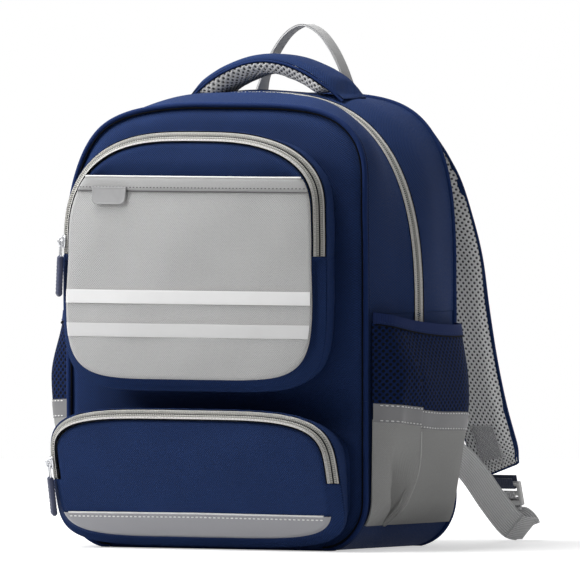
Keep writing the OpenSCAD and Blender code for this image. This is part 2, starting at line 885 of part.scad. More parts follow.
module ladder_lock(s) {
  r = 4;
  color("#c9c9c9")
    at_strap_end(s)
      translate([0, lock_t / 2, lock_gap])
        rotate([90, 0, 0])
          linear_extrude(lock_t)
            difference() {
              union() {
                translate([-lock_w / 2, r]) square([lock_w, lock_l - 2 * r]);
                translate([r - lock_w / 2, 0]) square([lock_w - 2 * r, lock_l]);
                for (x = [-1, 1], z = [r, lock_l - r])
                  translate([x * (lock_w / 2 - r), z]) circle(r, $fn = 20);
              }
              for (k = [0:bars - 2])
                translate([-web_w / 2 - 1, bar + k * (bar + slot)]) square([web_w + 2, slot]);
            }
}

module keeper(s) {
  in_t = lock_t / 2 + 0.9;
  out_t = in_t + web_t;
  turn = lock_gap + bar + 0.5;
  color("#3a3f52")
    at_strap_end(s)
      translate([-web_w / 2, 0, 0])
        rotate([90, 0, 90])
          linear_extrude(web_w)
            polygon([
              [-out_t, seam_gap], [-in_t, seam_gap], [-in_t, turn], [in_t, turn], [in_t, seam_gap],
              [out_t, seam_gap], [out_t, turn + web_t], [-out_t, turn + web_t]
            ]);
}

module keeper_left() {
  keeper(-1);
}

module keeper_right() {
  keeper(1);
}

module ladder_lock_left() {
  ladder_lock(-1);
}

module ladder_lock_right() {
  ladder_lock(1);
}

// Anchor tab: a folded triangle of cloth sewn to the back panel
anchor_x = strap_x + anchor_out;
anchor_z = strap_low + 29;

module anchors() {
  t = 2.4;
  y0 = back_y1 + seam_gap;
  reach_y = y0 + anchor_l;
  color("#1b2a5c")
    for (s = [-1, 1])
      translate([s * anchor_x + (s > 0 ? 0 : -t), 0, 0])
        rotate([90, 0, 90])
          linear_extrude(t)
            polygon([
              [y0, anchor_z - web_w], [reach_y, anchor_z - web_w / 2],
              [reach_y, anchor_z + web_w / 2], [y0, anchor_z + web_w]
            ]);
}

// Adjusting webbing: from the anchor back and down to a fold by the floor, then up to the ladder lock
web_x = anchor_x - web_t / 2 - 2 * seam_gap;
web_line = [
  [[0, 4, 0], [0, 0.1, 1]],
  [[0, 24, 1], [0, 0.12, 1]],
  [[0, 50, -6], [0.2, 0.2, 0.95]],
  [[0, 84, -24], [0.4, 0.3, 0.86]],
  [[2, 119, -47], [0.55, 0.36, 0.75]],
  [[3, 151, -69], [0.63, 0.38, 0.68]],
  [[4, 169, -76], [0.64, 0.38, 0.67]],
  [[3, 174.5, -74.5], [0.64, 0.38, 0.67]],
  [[1, 172.5, -70], [0.7, 0.34, 0.62]],
  [[-2, 166, -64.5], [0.85, 0.25, 0.45]],
  [[-5.1, 158.4, -58.7], [1, 0, 0]]
];

// Smooth run through the stations of the webbing; k = 0 gives its middle line, 1 the direction of its width
web_fine = 4;
web_last = len(web_line) - 1;
function web_station(i, k) = web_line[min(max(i, 0), web_last)][k];
function web_at(i, k) =
  let (
    j = floor(i / web_fine),
    t = i / web_fine - j,
    a = web_station(j - 1, k),
    b = web_station(j, k),
    c = web_station(j + 1, k),
    d = web_station(j + 2, k)
  )
  b + t / 2 * (c - a + t * (2 * a - 5 * b + 4 * c - d + t * (3 * (b - c) + d - a)));

module webbing(s) {
  last = web_last * web_fine;
  rings = [
    for (i = [0:last])
      let (
        p = web_at(i, 0),
        a = web_at(max(i - 1, 0), 0),
        b = web_at(min(i + 1, last), 0),
        w0 = web_at(i, 1) / norm(web_at(i, 1)),
        d0 = b - a,
        d = d0 - (d0 * w0) * w0,
        n = cross(w0, d) / norm(cross(w0, d)) * web_t / 2,
        w = w0 * web_w / 2,
        c = [web_x + p[0], back_y1 + p[1], anchor_z + p[2]]
      )
      [for (q = [c - w + n, c + w + n, c + w - n, c - w - n]) [s * q[0], q[1], q[2]]]
  ];
  color("#b5b5b5") skin(rings);
}

module webbing_left() {
  webbing(-1);
}

module webbing_right() {
  webbing(1);
}

// Zip slider lying on a zip: X across, Y along the zip upwards, Z out from the tape
plate_t = 1.4;
rail = coil_h + 0.5;
under = tape_t + 0.5;
web = zip_slit / 2;
bail_h = 3.4;
bail_t = 1.6;

module slider() {
  color("#c0c0c4") {
    translate([-slider_w / 2, -slider_l / 2, rail]) cube([slider_w, slider_l, plate_t]);
    translate([-slider_w / 2, -slider_l / 2, -under - plate_t]) cube([slider_w, slider_l, plate_t]);
    translate([-web / 2, -slider_l / 2, -under]) cube([web, slider_l, under + rail]);
    for (y = [-slider_l / 2 + 1, slider_l / 2 - 1 - bail_t])
      translate([-bail_t / 2, y, rail + plate_t]) cube([bail_t, bail_t, bail_h]);
    translate([-bail_t / 2, -slider_l / 2 + 1, rail + plate_t + bail_h]) cube([bail_t, slider_l - 2, bail_t]);
  }
}

link_t = 1.4;
link_w = 6;
link_l = 17;
link_z = rail + plate_t + bail_h / 2;

// Link: a wire loop through the slider's bail, hanging along the zip
module link() {
  color("#b4b4b8")
    translate([0, slider_l / 2 - 4, link_z])
      translate([0, 0, -link_t / 2])
        linear_extrude(link_t)
          difference() {
            translate([-link_w / 2, -link_l]) square([link_w, link_l]);
            translate([-link_w / 2 + link_t, -link_l + link_t]) square([link_w - 2 * link_t, link_l - 2 * link_t]);
          }
}

module grip() {
  r = grip_w / 2;
  color("#141c38")
    translate([0, slider_l / 2 - 4 - link_l, link_z - grip_t / 2])
      linear_extrude(grip_t)
        difference() {
          union() {
            translate([-r, -grip_l + r]) square([grip_w, grip_l - r + 4]);
            translate([0, -grip_l + r]) circle(r, $fn = 24);
          }
          translate([-link_w / 2 - seam_gap, -seam_gap]) square([link_w + 2 * seam_gap, 5]);
        }
}

// Places of the three sliders on the left side: point, lean along the zip and turn of the tape
main_slide_z = side_h + 38;
main_lean = 5.6;
up_slide_z = up_z0 + 11;
up_lean = 2.6;
low_slide_z = low_z0 + 15;
low_lean = 2.4;
up_stop = up_slide_z + up_run + slider_l / 2 + 1.5;
low_stop = low_slide_z + low_run + slider_l / 2 + 1.5;

module on_main_zip() {
  x = zip_half * pow(1 - pow((main_slide_z - z_mid) / (body_h - z_mid), n_zip), 1 / n_zip);
  translate([-x, zip_y, main_slide_z])
    rotate([0, main_lean, 0])
      rotate([90, 0, -90])
        children();
}

module on_pocket_zip(p, z, lean) {
  e = pow(1 - pow((z - p[1]) / (p[2] - border / 2), p[3]), 1 / p[3]) * (p[0] - border / 2);
  translate([-e, p[6] + tilt(p, z) - face_step / 2, z])
    rotate([-atan(p[7]), 0, 0])
      rotate([0, lean, 0])
        rotate([90, 0, atan2(-border, -face_step) + 90])
          children();
}

module main_slider() {
  on_main_zip() slider();
}

module main_link() {
  on_main_zip() link();
}

module main_grip() {
  on_main_zip() grip();
}

module upper_slider() {
  on_pocket_zip(up_pocket, up_slide_z, up_lean) slider();
}

module upper_link() {
  on_pocket_zip(up_pocket, up_slide_z, up_lean) link();
}

module upper_grip() {
  on_pocket_zip(up_pocket, up_slide_z, up_lean) grip();
}

module lower_slider() {
  on_pocket_zip(low_pocket, low_slide_z, low_lean) slider();
}

module lower_link() {
  on_pocket_zip(low_pocket, low_slide_z, low_lean) link();
}

module lower_grip() {
  on_pocket_zip(low_pocket, low_slide_z, low_lean) grip();
}

back_panel();
back_board();
back_pads();
rear_gusset();
side_wall_left();
side_wall_right();
base_panel();
base_board();
front_panel_lower();
front_piping_lower();
back_piping();
main_zip_rear();
lower_pocket_gusset();
lower_pocket_face();
lower_pocket_strip();
lower_zip_outer();
side_mesh_left();
side_mesh_right();
side_bands();
side_strips();
side_lowers();
handle_cover();
handle_mesh();
hang_loop();
anchors();
webbing_left();
webbing_right();
front_panel_upper();
front_gusset();
front_piping_upper();
main_zip_front();
upper_pocket_gusset();
upper_pocket_face();
slip_panel_lower();
reflective_stripes();
upper_zip_outer();
upper_pocket_flap();
slip_panel_upper();
slip_binding();
label_tab();
upper_zip_inner();
lower_pocket_flap();
lower_zip_inner();
strap_cover_left();
strap_mesh_left();
keeper_left();
ladder_lock_left();
strap_cover_right();
strap_mesh_right();
keeper_right();
ladder_lock_right();
main_slider();
main_link();
main_grip();
upper_slider();
upper_link();
upper_grip();
lower_slider();
lower_link();
lower_grip();
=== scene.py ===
"""School backpack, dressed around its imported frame. Lengths below are millimetres until a mesh is made."""
import math
from collections import namedtuple

import bpy
import numpy as np
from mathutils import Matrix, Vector


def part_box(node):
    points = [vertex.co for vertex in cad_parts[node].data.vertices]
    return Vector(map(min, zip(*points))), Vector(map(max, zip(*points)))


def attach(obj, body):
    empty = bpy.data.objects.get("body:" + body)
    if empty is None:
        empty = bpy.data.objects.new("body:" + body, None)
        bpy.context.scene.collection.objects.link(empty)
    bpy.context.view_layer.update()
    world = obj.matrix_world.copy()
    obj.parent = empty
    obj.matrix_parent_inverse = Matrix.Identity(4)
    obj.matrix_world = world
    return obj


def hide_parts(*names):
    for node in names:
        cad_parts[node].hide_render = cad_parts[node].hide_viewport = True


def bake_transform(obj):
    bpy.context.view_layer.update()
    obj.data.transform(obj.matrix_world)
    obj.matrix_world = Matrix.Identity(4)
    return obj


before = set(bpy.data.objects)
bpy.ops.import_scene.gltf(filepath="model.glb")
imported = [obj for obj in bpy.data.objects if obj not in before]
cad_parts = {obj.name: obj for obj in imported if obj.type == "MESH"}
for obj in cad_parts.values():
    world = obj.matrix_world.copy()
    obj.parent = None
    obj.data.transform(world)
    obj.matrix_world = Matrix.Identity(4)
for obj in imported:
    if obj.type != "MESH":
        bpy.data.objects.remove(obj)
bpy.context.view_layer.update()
scene = bpy.context.scene
scene.view_settings.view_transform = "Standard"

MM = 0.001
SIDES = (("right", 1), ("left", -1))
HALF, DEPTH = 147.5, 77.5  # half width and half depth of the bag at its seams
BASE_R, SIDE_H = 44.0, 206.0  # radius of the bottom corners, height of the side walls
PANEL_Y, BACK_Y = -81.5, 83.8  # outer faces of the front and the back panel
FRONT_TOP, FRONT_ROUND = 386.0, 4.7  # top and exponent of the front panel's arch
BACK_TOP, BACK_ROUND = 392.6, 3.9
ZIP_Y, ZIP_HALF, ZIP_TOP, ZIP_ROUND = -4.5, 160.5, 395.6, 2.7
FOLD_Z = 130.5  # fold between the two front pockets
BORDER, STEP, RISE = 9.5, 9.0, 4.5  # a pocket's zip border, its step back, the swell of the face
SLIP_TOP, SLIP_INSET = 323.5, 10.2
STRAP_X = 62.0

Pocket = namedtuple("Pocket", "half mid rise round_up drop round_low face slope")
LOW = Pocket(144.0, 59.4, 63.6, 4.4, 56.4, 5.0, -111.0, -0.28)
UP = Pocket(132.0, 255.52, 108.48, 3.0, 117.52, 5.5, -114.5, 0.0)


# Numbers and curves

def mix(a, b, t):
    return a + (b - a) * t


def ease(t):
    t = np.clip(t, 0, 1)
    return t * t * (3 - 2 * t)


def spow(v, e):
    return np.sign(v) * np.abs(v) ** e


def unit(v):
    return v / np.maximum(np.linalg.norm(v, axis=-1, keepdims=True), 1e-12)


def tangent(c):
    return unit(np.gradient(c, axis=0))


def xyz(x, y, z):
    return np.stack(np.broadcast_arrays(np.asarray(x, float), y, z), -1)


def around(count):
    return np.linspace(0, 2 * math.pi, count, endpoint=False)


def length_along(c):
    return np.concatenate([[0], np.cumsum(np.linalg.norm(np.diff(c, axis=0), axis=1))])


def sample(k, s, *rows):
    """Values of each row of vectors at the lengths k, where s is the length at each of its points."""
    return [np.stack([np.interp(k, s, q[:, i]) for i in range(q.shape[1])], 1) for q in rows]


def resample(c, n):
    """n points evenly spaced along a row of points."""
    s = length_along(c)
    return sample(np.linspace(0, s[-1], n), s, c)[0]


def ring(c, n):
    """n points evenly spaced along a closed outline."""
    return resample(np.vstack([c, c[:1]]), n + 1)[:-1]


def spline(stations, n):
    """Smooth row of n values through the stations."""
    q = np.asarray(stations, float)
    m = len(q) - 1
    u = np.linspace(0, m, n)
    j = np.minimum(u.astype(int), m - 1)
    t = (u - j)[:, None]
    a, b, c, d = (q[np.clip(j + k, 0, m)] for k in (-1, 0, 1, 2))
    return b + t / 2 * (c - a + t * (2 * a - 5 * b + 4 * c - d + t * (3 * (b - c) + d - a)))


def ripple(p, size, seed, octaves=5):
    """Gentle seeded unevenness between about -1 and 1, with folds of about the given size."""
    r = np.random.RandomState(seed)
    out = np.zeros(p.shape[:-1])
    for _ in range(octaves):
        k = unit(r.normal(size=3)) * 2 * math.pi / (size * r.uniform(0.7, 1.5))
        out += np.sin(p @ k + r.uniform(0, 6.28))
    return out / octaves ** 0.5


def dimple(g, size, seed):
    """Unevenness over a grid (x, z)."""
    return ripple(xyz(g[..., 0], 0, g[..., 1]), size, seed)


def arch_line(half, top, n, count, low=None):
    """Points (x, z) of an arch from its right foot to its left one."""
    t = np.linspace(0, math.pi, 900)
    x = half * spow(np.cos(t), 2 / n)
    z = 200 + (top - 200) * np.abs(np.sin(t)) ** (2 / n)
    c = np.stack([x, z], 1)
    if low is not None:
        c = np.vstack([[half, low], c[z >= low], [-half, low]])
    return resample(c, count)


def round_feet(half, low, r, count):
    """Points (x, z) of two round bottom corners, from the left one to the right one."""
    a = np.radians(np.linspace(0, 90, count))
    left = np.stack([-half + r - r * np.cos(a), low + r - r * np.sin(a)], 1)
    right = np.stack([half - r + r * np.sin(a), low + r - r * np.cos(a)], 1)
    return np.vstack([left, right])


def rounded(w, h, r, count=5):
    """Outline of a rectangle with round corners."""
    a = np.radians(np.linspace(0, 90, count))
    q = []
    for k, (sx, sy) in enumerate(((1, 1), (-1, 1), (-1, -1), (1, -1))):
        b = a + k * math.pi / 2
        q.append(np.stack([sx * (w / 2 - r) + r * np.cos(b), sy * (h / 2 - r) + r * np.sin(b)], 1))
    return np.vstack(q)


def disc(line, centre, radii):
    """Grid (around, inwards, 2) from a closed outline to its centre."""
    c = np.asarray(centre, float)
    return c + (line[:, None] - c) * np.asarray(radii, float)[None, :, None]


# Outline and face of a front pocket

def lobe(p, above, inset):
    """Exponent and half height of the outline's upper or lower half."""
    return np.where(above, p.round_up, p.round_low), np.where(above, p.rise, p.drop) - inset


def edge_points(p, inset, t0, t1, count):
    """Points (x, z) of the outline moved in by inset, from angle t0 to t1 in degrees."""
    t = np.radians(np.linspace(t0, t1, count))
    n, b = lobe(p, np.sin(t) >= 0, inset)
    x, z = (p.half - inset) * spow(np.cos(t), 2 / n), p.mid + b * spow(np.sin(t), 2 / n)
    return np.stack([x, z], 1)


def edge_line(p, inset, t0, t1, count):
    return resample(edge_points(p, inset, t0, t1, 1400), count)


def edge_x(p, inset, z):
    n, b = lobe(p, z >= p.mid, inset)
    return (p.half - inset) * np.maximum(1 - np.minimum(np.abs(z - p.mid) / b, 1) ** n, 0) ** (1 / n)


def tilt(p, z):
    return p.slope * (z - p.mid)


def outline_radius(p, x, z):
    """1 on the face's edge inside the zip border, less within it."""
    n, b = lobe(p, z >= p.mid, BORDER)
    return ((np.abs(x) / (p.half - BORDER)) ** n + (np.abs(z - p.mid) / b) ** n) ** (1 / n)


def face_y(p, x, z):
    r = outline_radius(p, x, z)
    rim = p.face - STEP + tilt(p, z)
    border = rim + (STEP - 1.2) * np.minimum((r - 1) * (p.half - BORDER) / BORDER, 1)
    return np.where(r <= 1, rim - RISE * (1 - r * r), border)


# Meshes

def normals(p, out, closed=False):
    du = np.roll(p, -1, 0) - np.roll(p, 1, 0) if closed else np.gradient(p, axis=0)
    n = unit(np.cross(du, np.gradient(p, axis=1)))
    return n if (n * np.asarray(out, float)).sum() >= 0 else -n


def quads(nu, nv, closed=False):
    i, j = np.meshgrid(np.arange(nu if closed else nu - 1), np.arange(nv - 1), indexing="ij")
    a, b = i * nv + j, (i + 1) % nu * nv + j
    return np.stack([a, b, b + 1, a + 1], -1).reshape(-1, 4)


def facing(v, f, out):
    """The faces f, turned over where they look against out."""
    a = v[f]
    return f[:, ::-1] if (np.cross(a[:, 1] - a[:, 0], a[:, 2] - a[:, 0]) * out).sum() < 0 else f


def settle(v):
    """Set of the filled bag: the front leans a little to its right and its left shoulder sinks."""
    x, y, z = v.T.copy()
    front, shell_only = ease((-14 - y) / 50), 1 - ease((-y - 88) / 3)
    right = front * ease((x - 60) / 60)

    def bulge(height, spread):
        return np.exp(-((z - height) / spread) ** 2)

    v[:, 0] += 4.5 * ease((z - 282) / 75) * front
    v[:, 0] += right * mix(4.0 * bulge(322, 28), 3.0 * bulge(350, 30), shell_only)
    v[:, 0] += 3.2 * ease((x - 60) / 80) * ease((-y - 30) / 45) * (1 - ease((-y - 82) / 3.5))
    v[:, 2] -= 4.5 * ease((-x - 20) / 90) * ease((z - 300) / 65) * front * shell_only
    v[:, 2] += 1.5 * right * bulge(365, 30)


def make(name, v, f, mat, body, uv, nodes=(), slot=None, second=None, sharp=50):
    """Mesh object from points in millimetres; second is (material, faces that take it)."""
    me = bpy.data.meshes.new(name)
    v = np.array(v, float)
    settle(v)
    me.from_pydata((v * MM).tolist(), [], f.tolist() if isinstance(f, np.ndarray) else f)
    me.polygons.foreach_set("use_smooth", np.ones(len(me.polygons), bool))
    me.materials.append(mat)
    if second is not None:
        me.materials.append(second[0])
        me.polygons.foreach_set("material_index", np.asarray(second[1], np.int32))
    loops = np.zeros(len(me.loops), np.int32)
    me.loops.foreach_get("vertex_index", loops)
    layer = me.uv_layers.new(name="weave")
    layer.data.foreach_set("uv", (np.asarray(uv, float) * MM)[loops].astype(np.float32).ravel())
    me.validate()
    me.set_sharp_from_angle(angle=math.radians(sharp))
    o = bpy.data.objects.new(name, me)
    scene.collection.objects.link(o)
    if isinstance(body, tuple):
        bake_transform(o)
    else:
        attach(o, body)
    if nodes:
        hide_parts(*nodes)
    return o


def arc_uv(p):
    """Lengths along both directions of a grid of points."""
    steps = [np.linalg.norm(np.diff(p, axis=i), axis=2).mean(1 - i) for i in (0, 1)]
    u, v = (np.concatenate([[0], np.cumsum(q)]) for q in steps)
    return np.stack(np.broadcast_arrays(u[:, None], v[None, :]), -1)


def shell(name, p, t, mat, out, body, closed=False, uv=None, lining=None, **kw):
    """Sheet of thickness t behind the grid p, whose outer side looks along out."""
    n = normals(p, out, closed)
    v = np.concatenate([p.reshape(-1, 3), (p - n * t).reshape(-1, 3)])
    f = quads(*p.shape[:2], closed)
    f = facing(v, f, n.reshape(-1, 3)[f[:, 0]])
    idx = np.arange(n[..., 0].size).reshape(p.shape[:2])
    loops = [idx[:, 0], idx[:, -1]]
    loops = [np.append(q, q[0]) for q in loops] if closed else loops + [idx[0], idx[-1]]
    rim = [np.stack([q[:-1], q[1:], q[1:] + idx.size, q[:-1] + idx.size], 1) for q in loops]
    faces = np.concatenate([f, f[:, ::-1] + idx.size] + rim)
    second = None
    if lining is not None:
        which = np.zeros(len(faces), int)
        which[len(f):2 * len(f)] = 1
        second = (lining, which)
    uv = (arc_uv(p) if uv is None else uv).reshape(-1, 2)
    return make(name, v, faces, mat, body, np.concatenate([uv, uv]), second=second, **kw)


def face(name, g, y, t, mat, side, body, **kw):
    """Closed sheet over the grid g (x, z) at the depth y, looking forward (-1) or back (1)."""
    p = xyz(g[..., 0], y, g[..., 1])
    return shell(name, p, t, mat, (0, side, 0), body, closed=True, uv=g, **kw)


def sweep(name, rings, mat, body, caps=True, **kw):
    """Closed skin through rings of points (count, sides, 3)."""
    nu, m = rings.shape[:2]
    wrapped = np.concatenate([rings, rings[:, :1]], 1)
    v = wrapped.reshape(-1, 3)
    f = quads(nu, m + 1)
    f = facing(v, f, v[f].mean(1) - np.repeat(rings.mean(1)[:-1], m, 0)).tolist()
    if caps:
        last = (nu - 1) * (m + 1)
        f += [list(range(m)), list(range(last, last + m))]
    return make(name, v, f, mat, body, arc_uv(wrapped).reshape(-1, 2), **kw)


def tube(name, c, r, mat, body, ref=(0, 1, 0), sides=8, squash=1.0, **kw):
    """Cord of radius r along the line c; ref is a direction that the line never takes."""
    t = tangent(c)
    a = unit(np.cross(t, ref))
    k = around(sides)[None, :, None]
    r = np.broadcast_to(np.asarray(r, float), len(c))[:, None, None]
    rings = c[:, None] + r * (np.cos(k) * a[:, None] + squash * np.sin(k) * np.cross(a, t)[:, None])
    return sweep(name, rings, mat, body, **kw)


SELVEDGE = [-1, -0.6, -0.2, 0.2, 0.6, 1]
RIBBON = ([(s, 0.5) for s in SELVEDGE] + [(1.02, 0.2), (1.02, -0.2)]
          + [(s, -0.5) for s in SELVEDGE[::-1]] + [(-1.02, -0.2), (-1.02, 0.2)])


def ribbon(name, c, w, width, t, mat, body, flip=1, lift=0.0, **kw):
    """Flat band with rounded selvedges along the line c; w points across it, lift moves it outwards."""
    d = tangent(c)
    w = np.broadcast_to(np.asarray(w, float), c.shape)
    w = unit(w - d * (w * d).sum(1, keepdims=True))
    n = flip * np.cross(d, w)
    h = np.broadcast_to(np.asarray(width, float) / 2, len(c))
    rings = [c + n * lift + w * (h * s)[:, None] + n * (t * q) for s, q in RIBBON]
    return sweep(name, np.stack(rings, 1), mat, body, **kw)


def parts(name, c, axes, template, mat, body, **kw):
    """Copies of a small template (points, faces) at places c with axes (3 rows of unit vectors each)."""
    tv, tf = template
    v = c[:, None] + np.einsum("vk,nkj->nvj", tv, axes)
    f = [[q + i * len(tv) for q in corners] for i in range(len(c)) for corners in tf]
    return make(name, v.reshape(-1, 3), f, mat, body, np.tile(tv[:, :2], (len(c), 1)), **kw)


def spindle(half, r):
    """Stitch: a six-sided thread with tapered ends."""
    v = [[x * half, q * r * math.cos(a), q * r * math.sin(a)]
         for x, q in ((-1, 0.35), (-0.62, 1), (0.62, 1), (1, 0.35)) for a in around(6)]
    f = [[i * 6 + (j + 1) % 6, i * 6 + 6 + (j + 1) % 6, i * 6 + 6 + j, i * 6 + j]
         for i in range(3) for j in range(6)]
    return np.array(v), f + [list(range(6)), list(range(23, 17, -1))]


def stitches(name, c, n, mat, body, pitch, r, lift, fill=0.7):
    """Row of thread stitches along the line c, lying on a surface with normals n."""
    s = length_along(c)
    count = max(int(s[-1] / pitch), 1)
    k = (np.arange(count) + 0.5) * s[-1] / count
    n = np.broadcast_to(np.asarray(n, float), c.shape)
    at, up, t = sample(k, s, c, n, np.gradient(c, axis=0))
    up, t = unit(up), unit(t)
    b = unit(np.cross(up, t))
    axes = np.stack([t, b, np.cross(t, b)], 1)
    return parts(name, at + up * lift, axes, spindle(pitch * fill / 2, r), mat, body)


# Materials

def rgb(h):
    c = [int(h[i:i + 2], 16) / 255 for i in (1, 3, 5)]
    return tuple(x / 12.92 if x <= 0.04045 else ((x + 0.055) / 1.055) ** 2.4 for x in c) + (1.0,)


def shade(c, k):
    return tuple(min(x * k, 1.0) for x in c[:3]) + (1.0,)


class Nodes:
    """Node tree with short calls for its maths."""

    def __init__(self, tree):
        self.t = tree

    def put(self, v, socket):
        if isinstance(v, bpy.types.NodeSocket):
            self.t.links.new(v, socket)
        else:
            socket.default_value = v

    def node(self, kind, *values, **settings):
        """New node with the given settings, whose first inputs take the values."""
        n = self.t.nodes.new("ShaderNode" + kind)
        for key, v in settings.items():
            setattr(n, key, v)
        for socket, v in zip(n.inputs, values):
            self.put(v, socket)
        return n

    def math(self, op, a, b=0.0):
        return self.node("Math", a, b, operation=op).outputs[0]

    def total(self, *terms, base=0.0):
        """Sum of (value, weight) pairs on top of a base."""
        for v, weight in terms:
            base = self.math("ADD", base, self.math("MULTIPLY", v, weight))
        return base

    def ramp(self, v, lo, hi, a=0.0, b=1.0):
        return self.node("MapRange", v, lo, hi, a, b, interpolation_type="SMOOTHSTEP").outputs[0]

    def seen(self):
        """1 for rays from the camera, a mirror or clear matter, else 0."""
        rays = self.node("LightPath").outputs
        other = self.math("MAXIMUM", rays["Is Glossy Ray"], rays["Is Transmission Ray"])
        return self.math("MAXIMUM", rays["Is Camera Ray"], other)


class Mat(Nodes):
    """Node material around one principled surface."""

    def __init__(self, name, rough=0.7, metallic=0.0, specular=0.4, sheen=0.0):
        self.m = bpy.data.materials.new(name)
        self.m.use_nodes = True
        super().__init__(self.m.node_tree)
        self.b = self.t.nodes["Principled BSDF"]
        for key, v in (("Roughness", rough), ("Metallic", metallic), ("Specular IOR Level", specular),
                       ("Sheen Weight", sheen), ("Sheen Roughness", 0.4)):
            self.b.inputs[key].default_value = v

    def blend(self, f, a, b):
        n = self.node("Mix", f, data_type="RGBA")
        self.put(a, n.inputs[6])
        self.put(b, n.inputs[7])
        return n.outputs[2]

    def coords(self, space, plane="xy"):
        co = self.node("TexCoord").outputs[space]
        s = self.node("SeparateXYZ", co)
        return co, [s.outputs["xyz".index(c)] for c in plane]

    def wave(self, v, pitch):
        return self.math("SINE", self.math("MULTIPLY", v, 2 * math.pi / (pitch * MM)))

    def noise(self, co, size, detail=2.0, rough=0.5):
        n = self.node("TexNoise", co)
        for key, v in (("Scale", 1 / (size * MM)), ("Detail", detail), ("Roughness", rough)):
            n.inputs[key].default_value = v
        return n.outputs[0]

    def bump(self, h, depth, strength):
        n = self.node("Bump", strength, depth * MM)
        self.put(h, n.inputs["Height"])
        last = self.b.inputs["Normal"]
        if last.is_linked:
            self.put(last.links[0].from_socket, n.inputs["Normal"])
        self.put(n.outputs[0], last)

    def color(self, c):
        self.put(c, self.b.inputs["Base Color"])

    def tone(self, f, hexcol, dark, light):
        """Base colour between a dark and a light shade, by the factor f."""
        c = rgb(hexcol)
        self.color(self.blend(f, shade(c, dark), shade(c, light)))

    def rough(self, v):
        self.put(v, self.b.inputs["Roughness"])


def cloth(name, hexcol, pitch=1.8, depth=0.35, rough=0.75, vary=0.17, weave=0.36):
    """Woven cloth: crossing threads, uneven dye and slightly uneven sheen."""
    m = Mat(name, rough=rough, specular=0.1)
    co, (u, v) = m.coords("UV")
    h = m.math("MULTIPLY", m.wave(u, pitch), m.wave(v, pitch))
    spots, cloud = m.noise(co, 1.7, rough=0.6), m.noise(co, 45.0)
    f = m.total((h, weave / 2), (spots, vary * 2), (cloud, vary), base=0.5 - vary * 1.5)
    m.tone(f, hexcol, 0.66, 1.34)
    m.rough(m.ramp(spots, 0.3, 0.7, rough - 0.1, min(rough + 0.1, 1)))
    m.bump(cloud, 1.2, 0.25)
    m.bump(h, depth, 0.5)
    return m.m


def thread(name, hexcol, rough=0.6):
    return cloth(name, hexcol, pitch=0.4, depth=0.05, vary=0.04, rough=rough)


def airmesh(name, yarn, hole, a, b, r, space="UV", plane="xy"):
    """Knitted spacer mesh with staggered holes, a and b apart."""
    m = Mat(name, rough=0.8, specular=0.08)
    co, (u, v) = m.coords(space, plane)
    x, y = m.math("DIVIDE", u, a * MM), m.math("DIVIDE", v, b * MM)
    q = [m.math("SUBTRACT", m.math("FRACT", m.math(op, x, y)), 0.5) for op in ("ADD", "SUBTRACT")]
    d = m.math("SQRT", m.total(*zip(q, q)))
    knit = m.math("MULTIPLY", m.wave(u, 0.9), m.wave(v, 0.9))
    f = m.total((m.noise(co, 0.7), 0.6), (knit, 0.15))
    strands = m.blend(f, shade(rgb(yarn), 0.66), shade(rgb(yarn), 1.15))
    m.color(m.blend(m.ramp(d, r - 0.07, r + 0.07), rgb(hole), strands))
    m.bump(m.ramp(d, r - 0.2, r + 0.25), 0.9, 0.8)
    m.bump(f, 0.2, 0.4)
    return m.m


def webbing(name, hexcol, rib=1.9, depth=0.35, along="y", specular=0.3):
    """Ribbed webbing; ribs run along its length."""
    m = Mat(name, rough=0.65, specular=specular)
    co, (u, v) = m.coords("UV", "yx" if along == "x" else "xy")
    ribs = m.wave(v, rib)
    pick = m.math("MULTIPLY", m.wave(u, 1.0), m.wave(v, rib / 2))
    m.tone(m.total((ribs, 0.3), (pick, 0.14), (m.noise(co, 0.9), 0.3), base=0.35), hexcol, 0.68, 1.16)
    m.bump(m.total((ribs, 1.0), (pick, 0.4)), depth, 0.7)
    return m.m


def tape_mat(name, hexcol):
    """Zip tape: fine twill with a stouter cord along it."""
    m = Mat(name, sheen=0.1, specular=0.3)
    co, (u, v) = m.coords("UV")
    twill, cords = m.wave(m.math("ADD", u, v), 1.0), m.wave(v, 1.5)
    m.tone(m.total((twill, 0.2), (cords, 0.14), (m.noise(co, 0.8), 0.3), base=0.35), hexcol, 0.72, 1.15)
    m.bump(m.math("ADD", twill, cords), 0.2, 0.6)
    return m.m


def film(name, hexcol, rough=0.42, metallic=0.15, sparkle=0.18):
    """Reflective tape: a smooth grey film of fine glass beads."""
    m = Mat(name, rough=rough, metallic=metallic, specular=0.5)
    co, _ = m.coords("UV")
    beads, cloud = m.noise(co, 0.35), m.noise(co, 30.0, 3.0)
    m.tone(m.total((beads, sparkle * 2), (cloud, 0.3), base=0.35 - sparkle), hexcol, 0.84, 1.14)
    m.rough(m.ramp(cloud, 0.3, 0.7, rough - 0.08, rough + 0.1))
    m.bump(beads, 0.06, 0.5)
    return m.m


def solid(name, hexcol, rough, metallic=0.0, size=0.5, depth=0.05, vary=0.1):
    """Moulded or cast surface with fine grain and slight wear."""
    m = Mat(name, rough=rough, metallic=metallic, specular=0.5)
    co, _ = m.coords("Object")
    grain, wear = m.noise(co, size, 3.0), m.noise(co, 9.0, 4.0, 0.65)
    m.tone(m.ramp(wear, 0.3, 0.72), hexcol, 1 - vary, 1 + vary)
    m.rough(m.ramp(wear, 0.3, 0.75, max(rough - 0.08, 0.04), rough + 0.12))
    m.bump(grain, depth, 0.5)
    return m.m


